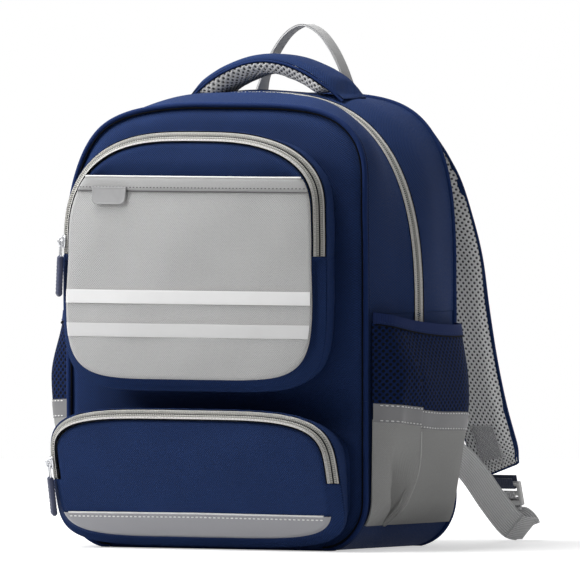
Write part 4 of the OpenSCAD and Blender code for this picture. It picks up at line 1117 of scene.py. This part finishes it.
for tag, s in SIDES:
    for part in ("front", "rear"):
        side_half(tag, s, part)
    # light cord along the pleat's fold: painted highlight on the folded edge
    z = np.linspace(34, 103, 40)
    y = ridge_y(z)
    c = xyz(s * (side_skin(y, z, "front") + 0.15), y + 0.2, z)
    tube(f"side_crease_{tag}", c, 0.7 * mix(0.4, 1, ease((z - 34) / 12)), painted_crease_highlight, "bag")
    # dark cord along the step where the pleat's front part laps over: painted pleat shadow
    z = np.linspace(101, 126, 14)
    y = ridge_y(z) + 1.9
    tube(f"side_pleat_{tag}", xyz(s * (side_skin(y, z, "rear") + 1.2), y, z), 0.75, groove, "bag")
    p = side_cloth(f"side_band_{tag}", s, lambda y: mouth(y, 10), mouth, 0.9, 1.9, elastic, "all",
                   ("side_bands",), "navy_mesh", rows=14, cols=90)
    # dark cord along the band's lower edge: painted shade under the band
    tube(f"side_band_{tag}_seam", p[1:-1, 0] + [0, 0, -0.3], 0.7, painted_seam_shade, "bag", ref=(0, 0, 1))
    stitches(f"side_band_{tag}_stitch", p[2:-2, 3], (s, 0, 0), thread_navy, "bag",
             pitch=3.6, r=0.34, lift=0.05, fill=0.6)


# Padded pieces

FILL_FRAMES = 16


def puff(o, cap, pins=None):
    """Fills a padded piece by a short cloth simulation that moves it no further than cap from its cut."""
    me = o.data
    rest = np.empty(len(me.vertices) * 3, np.float32)
    me.vertices.foreach_get("co", rest)
    group = o.vertex_groups.new(name="sewn")
    if pins is not None:
        group.add(list(pins), 1.0, "REPLACE")
    mod = o.modifiers.new("fill", "CLOTH")
    st = mod.settings
    st.quality = 6
    st.mass = 0.3
    st.use_pressure = True
    st.uniform_pressure_force = 4.0
    st.tension_stiffness = st.compression_stiffness = 25
    st.bending_stiffness = 1.5
    st.air_damping = 5
    st.effector_weights.gravity = 0
    st.vertex_group_mass = "sewn"
    mod.point_cache.frame_start, mod.point_cache.frame_end = 1, FILL_FRAMES
    mod.collision_settings.use_collision = False
    for f in range(1, FILL_FRAMES + 1):
        scene.frame_set(f)
    ev = o.evaluated_get(bpy.context.evaluated_depsgraph_get())
    now = np.empty_like(rest)
    ev.data.vertices.foreach_get("co", now)
    o.modifiers.remove(mod)
    o.vertex_groups.remove(group)
    scene.frame_set(1)
    d = np.nan_to_num((now - rest).reshape(-1, 3))
    d *= np.minimum(1, cap * MM / np.maximum(np.linalg.norm(d, axis=1, keepdims=True), 1e-9))
    me.vertices.foreach_set("co", (rest + d.ravel()).astype(np.float32))
    me.update()
    return o


def pillow_rings(c, w, n, half, low, high, power=4.0):
    """Rings with a flat base at low and a domed top at high, measured along n."""
    k = np.sin(np.linspace(-1, 1, 21) * math.pi / 2)
    h, lo, hi = (np.broadcast_to(np.asarray(q, float), len(c)) for q in (half, low, high))
    dome = (1 - np.abs(k) ** power) ** 0.6
    under = lo - 0.25 * np.sign(hi - lo)
    top = [c + w * (h * a)[:, None] + n * mix(lo, hi, b)[:, None] for a, b in zip(k, dome)]
    base = [c + w * (h * a * 0.985)[:, None] + n * under[:, None] for a in k[::-2]]
    return np.stack(top + base[1:-1], 1)


def cushion(name, rings, mat, body, node, slot, cap):
    o = sweep(name, rings, mat, body, nodes=(node,), slot=slot)
    puff(o, cap=cap)


def dome_at(share):
    """Height of a pillow's dome at a share of its half width."""
    return (1 - share ** 4) ** 0.6


# Handle: padded cover above, spacer mesh below

HANDLE = [(-81, 385.5), (-69, 395.5), (-54, 406.2), (-40, 413.6), (-20, 420.6), (0, 423.0), (20, 420.6),
          (40, 413.6), (54, 406.2), (66, 398.0), (77, 388.5)]
HANDLE_Y = 28.3


def handle():
    q = spline(HANDLE, 81)
    c = xyz(q[:, 0], HANDLE_Y, q[:, 1])
    w = np.tile([0.0, 1.0, 0.0], (len(c), 1))
    n = unit(np.cross(tangent(c), w))
    n = n * np.sign(n[:, 2:])
    end = np.minimum(length_along(c), length_along(c)[-1] - length_along(c))
    foot = mix(0.12, 1.0, ease(end / 26))
    half = mix(20.5, 23.4, ease(end / 30))
    rings = pillow_rings(c, w, n, half, 0.3, 5.9 * foot)
    cushion("handle_cover_pad", rings, navy, "bag", "handle_cover", "navy_cloth", 2.0)
    k = slice(7, -7)
    deep = -11.0 * mix(0.25, 1, ease((end[k] - end[7]) / 18))
    rings = pillow_rings(c[k], w[k], n[k], half[k], -0.3, deep, 7.0)
    cushion("handle_mesh_pad", rings, strap_mesh, "bag", "handle_mesh", "grey_mesh", 2.0)
    for tag, s in (("fore", -1), ("back", 1)):
        tube(f"handle_binding_{tag}", c + w * (s * half)[:, None], 1.25, navy_pipe, "bag", sides=10)
        q = c + w * (s * (half - 3.2))[:, None] + n * (0.3 + 5.6 * foot * dome_at(0.87))[:, None]
        stitches(f"handle_stitch_{tag}", q, n, thread_navy, "bag", pitch=3.8, r=0.32, lift=0.05)


handle()


# Hanging loop

LOOP = [(-46, -10), (-44, 0), (-38.5, 14), (-28, 31), (-15, 44), (0, 49.4), (15, 44), (28, 31), (38.5, 14),
        (44, 0), (46, -10)]
LOOP_Y, LOOP_Z, LOOP_STRETCH = 77.8, 398.4, 56.5 / 49.4 * 0.982

q = spline(LOOP, 81)
q = q[q[:, 1] >= -7]
c = xyz(q[:, 0], LOOP_Y, LOOP_Z + q[:, 1] * LOOP_STRETCH)
ribbon("hang_loop_webbing", c, (0, 1, 0), 14.5 + 6.5 * ease((10 - q[:, 1]) / 18), 2.0, loop_grey, "bag",
       flip=-1, nodes=("hang_loop",), slot="webbing")


# Back pads

PAD_STEPS = np.array([1, 0.99, 0.97, 0.945, 0.91, 0.86, 0.8, 0.7, 0.6, 0.5, 0.4, 0.3, 0.2, 0.1, 0.0])
PAD_R, PAD_T = 16.0, 8.4


def pad(tag, x, z0, z1, width, nodes):
    a = np.linspace(0, 2 * math.pi, 400)
    inner = [np.sign(np.cos(a)) * (width / 2 - PAD_R), np.sign(np.sin(a)) * ((z1 - z0) / 2 - PAD_R)]
    line = np.stack([inner[0] + PAD_R * np.cos(a), inner[1] + PAD_R * np.sin(a)], 1)
    line = resample(line, 161)[:-1] + [x, (z0 + z1) / 2]
    g = disc(line, (x, (z0 + z1) / 2), PAD_STEPS)
    y = BACK_Y + 0.9 + PAD_T * (1 - PAD_STEPS ** 5) ** 0.5
    o = face(f"back_pad_{tag}", g, y, 0.8, pad_mesh, 1, "bag", nodes=nodes, slot="grey_mesh")
    puff(o, cap=2.0, pins=range(0, g[..., 0].size, len(PAD_STEPS)))
    q = np.vstack([line, line[:2]])
    tube(f"back_pad_{tag}_binding", xyz(q[:, 0], BACK_Y + 1.4, q[:, 1]), 1.5, navy_pipe, "bag",
         sides=10, caps=False)


pad("left", -65.6, 132, 330, 92.4, ("back_pads",))
pad("right", 65.6, 132, 330, 92.4, ())
pad("lumbar", 0, 52, 122, 223.5, ())


# Shoulder straps

# Stations of a strap: distance from the back panel, height, shift outwards
STRAP = np.array([(2.8, 378, 0), (24, 371, 4), (47, 351, 10), (69, 322, 17), (84, 288, 21.5), (98, 250, 25),
                  (107, 205, 28), (115, 160, 33), (124, 120, 39), (134, 88, 45), (145, 57, 49)], float)
STRAP_HALF = np.array([32.0 if i < 5 else mix(64, 46, ((i - 4) / 6) ** 1.4) / 2 for i in range(len(STRAP))])
STRAP_END = np.array([111.0, 228.8, 57.0])
ALONG, AWAY = np.array([0, 0.3331, -0.9429]), np.array([0, 0.9429, 0.3331])
PATCH_HALF, PATCH_FROM, PATCH_TO = 13.0, -47.0, -12.0
MESH_T, PATCH_LIFT = 5.6, 2.4
BOX = ((-11, -44), (11, -44), (11, -10), (-11, -10))  # corners of the box stitch
WEB_W = 25.0
KEEPER = [(0.5, 4.0), (4, 4.05), (7.5, 4.0), (9.6, 3.2), (10.5, 1.4), (10.6, 0)]
KEEPER += [(a, -b) for a, b in KEEPER[-2::-1]]
WEB_IN_LOCK = [(32.6, 2.65), (28.2, 3.9), (24.2, 3.9), (21.2, 2.2), (19.8, 0), (18.8, -2.8), (15.8, -4),
               (12.6, -3.9)]
WEB_FROM = np.array([116.6, BACK_Y, 86.0])
WEB_LINE = np.array([(0, 4, 0), (0, 24, 1), (0, 50, -6), (0, 84, -24), (2, 114.5, -48.7), (3, 146.5, -70.5),
                     (4, 167.5, -76), (3, 174.5, -74.5), (1, 172.5, -70), (-2, 166, -64.5),
                     (-5.1, 158.4, -58.7)])
WEB_DIR = np.array([(0, 0.1, 1), (0, 0.12, 1), (0.2, 0.2, 0.95), (0.4, 0.3, 0.86), (0.55, 0.36, 0.75),
                    (0.63, 0.38, 0.68), (0.64, 0.38, 0.67), (0.64, 0.38, 0.67), (0.7, 0.34, 0.62),
                    (0.85, 0.25, 0.45), (1, 0, 0)])
WEB_HEM = np.array([(3.2, 150, -72), (3.6, 158, -73.5), (4, 167, -74.3), (4.4, 176.4, -74.5)])
ANCHOR = np.array([(84.4, 61.5), (103.9, 73.8), (103.9, 98.2), (84.4, 110.5)])
ANCHOR_X = 119.2


def strap_curve(s):
    """Middle line of a strap, its directions across and out, and its half width."""
    q = spline(np.column_stack([STRAP, STRAP_HALF]), 91)
    c = xyz(s * (STRAP_X + q[:, 2]), BACK_Y + q[:, 0], q[:, 1])
    d = tangent(q[:, :2])
    left = length_along(c)[-1] - length_along(c)
    turn = math.radians(20) * ease((42 - left) / 42)
    along = xyz(0.0, d[:, 0], d[:, 1])
    w = xyz(s * np.cos(turn), 0.0, 0.0) - along * np.sin(turn)[:, None]
    return c - along * (16 * np.sin(turn))[:, None], w, xyz(0.0, -d[:, 1], d[:, 0]), q[:, 3]


def strap_pads(tag, s, strap):
    """Cover, mesh face, binding and stitches of a strap, with the sewn patch at its end."""
    c, w, n, half = strap_curve(s)
    length = length_along(c)
    end = ease((length[-1] - length) / 14)
    narrow = mix(0.93, 1, end)
    thick = mix(0.55, 1, end) * mix(0.5, 1, ease(length / 20))
    rings = pillow_rings(c, w, n, half * narrow, -0.5, 7.0 * thick)
    cushion(f"strap_cover_{tag}_pad", rings, navy, strap, f"strap_cover_{tag}", "navy_cloth", 1.5)
    rings = pillow_rings(c, w, n, (half - 1.2) * narrow, -1.0, -6.0 * thick, power=5)
    cushion(f"strap_mesh_{tag}_pad", rings, strap_mesh, strap, f"strap_mesh_{tag}", "grey_mesh", 1.5)
    out = w * (half * narrow)[:, None]
    edge = resample(np.vstack([c + out, (c - out)[::-1]]), 240) - [0, 0.8, 0]
    tube(f"strap_binding_{tag}", edge, 1.0, navy_pipe, strap, ref=(1, 0.2, 0), sides=10)
    for k, where in ((-1, "in"), (1, "out")):
        q = c + w * (k * (half - 4.5))[:, None] + n * (-0.5 + 7.4 * thick * dome_at(0.86))[:, None]
        stitches(f"strap_stitch_{tag}_{where}", q[3:-2], n[3:-2], thread_navy, strap,
                 pitch=4, r=0.34, lift=0.05)
    al = np.linspace(PATCH_FROM, PATCH_TO, 24)[:, None]
    x = np.linspace(-PATCH_HALF, PATCH_HALF, 18)[None, :]
    base, nn, ww, th = sample(length[-1] + al[:, 0], length, c, n, w, thick[:, None])
    inside = np.minimum(np.minimum(al - PATCH_FROM, PATCH_TO - al), PATCH_HALF - np.abs(x))
    h = MESH_T * th + PATCH_LIFT * np.minimum(1, inside / 2.0) + 0.35 * ripple(xyz(x, al, 0), 9, 61)
    p = base[:, None] + ww[:, None] * x[..., None] - nn[:, None] * h[..., None]
    shell(f"strap_patch_{tag}", p, 0.8, patch, -nn[:, None] + 0 * p, strap, slot="grey_mesh")
    for k, (i, j) in enumerate(((0, 1), (1, 2), (2, 3), (3, 0), (0, 2), (1, 3))):
        x, al = np.linspace(BOX[i], BOX[j], 12).T
        base, nn, th = sample(length[-1] + al, length, c, n, thick[:, None])
        q = base + np.array([s, 0, 0]) * x[:, None] - nn * (MESH_T * th + PATCH_LIFT + 0.05)
        stitches(f"strap_box_{tag}_{k}", q, -nn, thread_grey, strap, pitch=2.6, r=0.5, lift=0.1, fill=0.85)


def end_point(s, x, along, away):
    """Place at the strap's lower end: x across, along and away from the strap."""
    along, away = np.asarray(along, float), np.asarray(away, float)
    return xyz(x, 0, 0) + STRAP_END * [s, 1, 1] + along[..., None] * ALONG + away[..., None] * AWAY


def end_ribbon(name, s, stations, count, t, mat, body, **kw):
    q = spline(stations, count)
    ribbon(name, end_point(s, 0, q[:, 0], q[:, 1]), (1, 0, 0), WEB_W, t, mat, body, **kw)


def bar(name, a, b, up, w, h, r, mat, body, **kw):
    """Bar from a to b with a rounded section and eased ends."""
    d, size = unit(b - a), np.linalg.norm(b - a)
    side = unit(np.cross(d, up))
    up = np.cross(side, d)
    ends = [(0, 0.72), (0.15 * r, 0.88), (0.5 * r, 0.97), (r, 1)]
    rings = []
    for t, k in ends + [(size - t, k) for t, k in ends[::-1]]:
        q = rounded(w, h, r) * [1 - (1 - k) * 2 * r / w, 1 - (1 - k) * 2 * r / h]
        rings.append(a + d * t + q[:, :1] * side + q[:, 1:] * up)
    sweep(name, np.stack(rings), mat, body, slot="lock_plastic", **kw)


def ladder_lock(tag, s, lock):
    for k in range(3):
        ends = [end_point(s, x, 7 + 8.8 * k, 0) for x in (-16.5, 16.5)]
        bar(f"lock_{tag}_bar_{k + 1}", *ends, AWAY, 4.0, 4.2, 1.3, plastic, lock,
            nodes=(f"ladder_lock_{tag}",) if k == 0 else ())
    for k, where in ((-1, "in"), (1, "out")):
        ends = [end_point(s, 16 * k, al, 0) for al in (5, 26.6)]
        bar(f"lock_{tag}_rail_{where}", *ends, AWAY, 4.0, 4.4, 1.4, plastic, lock)


def adjusting_webbing(tag, s, strap, lock):
    q = spline(np.column_stack([WEB_LINE + WEB_FROM, WEB_DIR]), 121)
    swing = ("bag", strap, (s * 0.1166, 0.09, 0.05), (s * 0.1166, 0.238, 0.05))
    ribbon(f"webbing_{tag}_run", q[:, :3] * [s, 1, 1], q[:, 3:] * [s, 1, 1], WEB_W, 1.6, web_grey, swing,
           nodes=(f"webbing_{tag}",), slot="webbing")
    hem = spline(WEB_HEM + WEB_FROM, 25) * [s, 1, 1]
    ribbon(f"webbing_{tag}_hem", hem, WEB_DIR[6] * [s, 1, 1], WEB_W, 1.4, web_grey, swing, flip=s, lift=1.5,
           slot="webbing")
    end_ribbon(f"webbing_{tag}_in_lock", s, WEB_IN_LOCK, 61, 1.6, web_grey, lock, slot="webbing")


def anchor(tag, s):
    g = disc(ring(ANCHOR, 120), (91.5, 86), [1, 0.99, 0.96, 0.92, 0.88, 0.7, 0.4, 0])
    h = np.array([0.5, 0.15, 0, 0, 0.15, 0.1, 0, 0])
    seam = np.vstack([g[:, 3], g[:1, 3]])
    for k, where in ((-1, "in"), (1, "out")):
        p = xyz(s * (ANCHOR_X + k * (1.2 - h)), g[..., 0], g[..., 1])
        shell(f"anchor_{tag}_{where}", p, 1.1, navy, (s * k, 0, 0), "bag", closed=True, uv=g,
              nodes=("anchors",) if k > 0 else (), slot="navy_cloth")
        q = xyz(s * (ANCHOR_X + k * 1.25), seam[:, 0], seam[:, 1])
        stitches(f"anchor_{tag}_stitch_{where}", q, (s * k, 0, 0), thread_navy, "bag",
                 pitch=3.2, r=0.3, lift=0.05)


for tag, s in SIDES:
    strap, lock = f"strap_{tag}", f"lock_{tag}"
    strap_pads(tag, s, strap)
    end_ribbon(f"keeper_{tag}_webbing", s, KEEPER, 41, 1.5, web_dark, strap, nodes=(f"keeper_{tag}",),
               slot="dark_webbing")
    ladder_lock(tag, s, lock)
    adjusting_webbing(tag, s, strap, lock)
    anchor(tag, s)


# Zip sliders and their pulls

PLATE_TOP = ((1.7, 0.95), (1.9, 1), (2.5, 1), (2.9, 0.94), (3.1, 0.82))  # height and size of each ring
PLATE_UNDER = ((-3.1, 0.86), (-2.9, 0.96), (-2.4, 1), (-1.8, 1), (-1.7, 0.97))
POST = ((-1.9, 1), (0, 1), (1.9, 1))
LINK_Z, GRIP_TOP, GRIP_LENGTH = 4.8, -12.0, 36.0
GRIP_ROWS = ((GRIP_TOP, -13.4, 6), (-14, -45.6, 90), (-46.2, -48, 7))


def puller(tag, origin, along, across, out):
    """Slider, link and grip at the origin; the zip runs along, the pull lies out of it."""
    axes = np.array([across, along, out], float)
    slide, pull = f"{tag}_slider", f"{tag}_pull"

    def place(x, y, z):
        return np.array(origin) + xyz(x, y, z) @ axes

    def lens(part, line, levels, **kw):
        rings = [place(*(line * k).T, z) for z, k in levels]
        sweep(f"{slide}_{part}", np.stack(rings), chrome, slide, slot="slider_metal", **kw)

    a = around(48)
    taper = 1 - 0.1 * (np.sin(a) < 0) * np.abs(np.sin(a))
    plate = np.stack([4.0 * spow(np.cos(a), 0.6) * taper, 6.0 * spow(np.sin(a), 0.7)], 1)
    lens("top", plate, PLATE_TOP, nodes=(slide,))
    lens("under", plate, PLATE_UNDER)
    lens("post", np.stack([1.1 * np.cos(a), 3.6 + 1.4 * np.sin(a)], 1), POST)
    k = np.linspace(0, math.pi, 25)
    tube(f"{slide}_bail", place(0.0, 3.9 * np.cos(k), 2.6 + 4.6 * np.sin(k) ** 0.7), 0.95, chrome, slide,
         ref=axes[0], sides=10, squash=1.25, slot="slider_metal")
    loop = rounded(5.0, 15.5, 2.3, 8) + [0, -6.3]
    loop = resample(np.vstack([loop, loop[:1]]), 61)
    tube(f"{pull}_link", place(*loop.T, LINK_Z), 0.7, chrome, pull, ref=axes[2], sides=9, caps=False,
         nodes=(f"{tag}_link",), slot="slider_metal")
    y = np.concatenate([np.linspace(*q) for q in GRIP_ROWS])
    v = (GRIP_TOP - y) / GRIP_LENGTH
    ends = np.clip((v + 0.004) / 0.045, 0, 1) ** 0.45 * np.clip((1.004 - v) / 0.06, 0, 1) ** 0.45
    wide = 0.5 * mix(7.2, 9.0, ease(v * 3)) * ends
    ribs = 0.5 + 0.5 * np.cos(2 * math.pi * (y + 14) / 3.2)
    ribs = ribs * ease((v - 0.2) / 0.05) * ease((0.93 - v) / 0.05)
    thick = 2.5 * np.clip((v + 0.006) / 0.06, 0, 1) ** 0.5 * np.clip((1.006 - v) / 0.08, 0, 1) ** 0.5
    thick, b = thick * (1 - 0.09 * ribs), around(28)
    z = LINK_Z + thick[:, None] * spow(np.sin(b), 0.6)
    rings = place(wide[:, None] * spow(np.cos(b), 0.55), y[:, None], z)
    sweep(f"{pull}_grip", rings, rubber, pull, nodes=(f"{tag}_grip",), slot="grip_rubber")


puller("upper", (-127.2, -119.0, 266.52), (0.0454, 0, 0.999), (0.7252, -0.6877, -0.0329),
       (-0.687, -0.726, 0.0312))
puller("lower", (-139.22, -119.7, 74.4), (0.0419, -0.2694, 0.9621), (0.7253, -0.6541, -0.2147),
       (-0.6871, -0.7068, -0.168))
puller("main", (-159.47, -4.5, 244), (0.0976, 0, 0.9952), (0, -1, 0), (-0.9952, 0, 0.0976))


# Studio: pale floor, soft light, white ground (metres and watts)

AZ, EL, DISTANCE = math.radians(30), math.radians(1.25), 20.0
FLOOR_R = 2.6
WHITE = (1, 1, 1, 1)

right = Vector((math.cos(AZ), math.sin(AZ), 0))
back = Vector((math.sin(AZ) * math.cos(EL), -math.cos(AZ) * math.cos(EL), math.sin(EL)))
aim = right * 0.02495 + Vector((0, 0, 0.2236))
cam = bpy.data.cameras.new("camera")
cam.lens = 1424.4
cam.sensor_width = 36
cam.clip_end = 60
camera = bpy.data.objects.new("camera", cam)
camera.location = aim + back * DISTANCE
camera.rotation_euler = back.to_track_quat("Z", "Y").to_euler()
scene.collection.objects.link(camera)
scene.camera = camera


def area(name, at, to, size, watts, spread=180):
    d = bpy.data.lights.new(name, "AREA")
    d.shape = "DISK"
    d.size = size
    d.energy = watts
    d.spread = math.radians(spread)
    o = bpy.data.objects.new(name, d)
    o.location = at
    o.rotation_euler = (Vector(at) - Vector(to)).to_track_quat("Z", "Y").to_euler()
    scene.collection.objects.link(o)


area("key_light", (-1.0, -0.72, 0.95), (0, -0.08, 0.2), 0.6, 12.5)
area("top_light", (-0.3, -0.3, 1.5), (0, 0, 0.3), 0.8, 22)
area("back_light", (1.5, 1.3, 0.9), (0.05, 0.05, 0.2), 1.0, 3.6)
area("strap_light", (1.0, -0.6, 0.45), (0.27, 0.25, 0.17), 0.3, 0.15, spread=24)

world = bpy.data.worlds.new("studio")
scene.world = world
world.use_nodes = True
sky = Nodes(world.node_tree)
ground = world.node_tree.nodes["Background"].inputs
sky.put(WHITE, ground["Color"])
sky.put(sky.ramp(sky.seen(), 0.0, 1.0, 0.125, 1.0), ground["Strength"])

me = bpy.data.meshes.new("floor")
me.from_pydata([(FLOOR_R * math.cos(q), FLOOR_R * math.sin(q), 0) for q in around(96)], [], [list(range(96))])
floor = bpy.data.objects.new("floor", me)
scene.collection.objects.link(floor)
pale = Mat("pale_floor", rough=0.9, specular=0.1)
co, (x, y) = pale.coords("Object")
pale.color(pale.blend(pale.noise(co, 60.0), (0.78, 0.78, 0.78, 1), (0.82, 0.82, 0.82, 1)))
far = pale.math("SQRT", pale.total((x, x), (y, y)))
glow = pale.math("MULTIPLY", pale.seen(), pale.ramp(far, 0.35, 1.5, 0.5, 1.0))
pale.put(WHITE, pale.b.inputs["Emission Color"])
pale.put(glow, pale.b.inputs["Emission Strength"])
me.materials.append(pale.m)
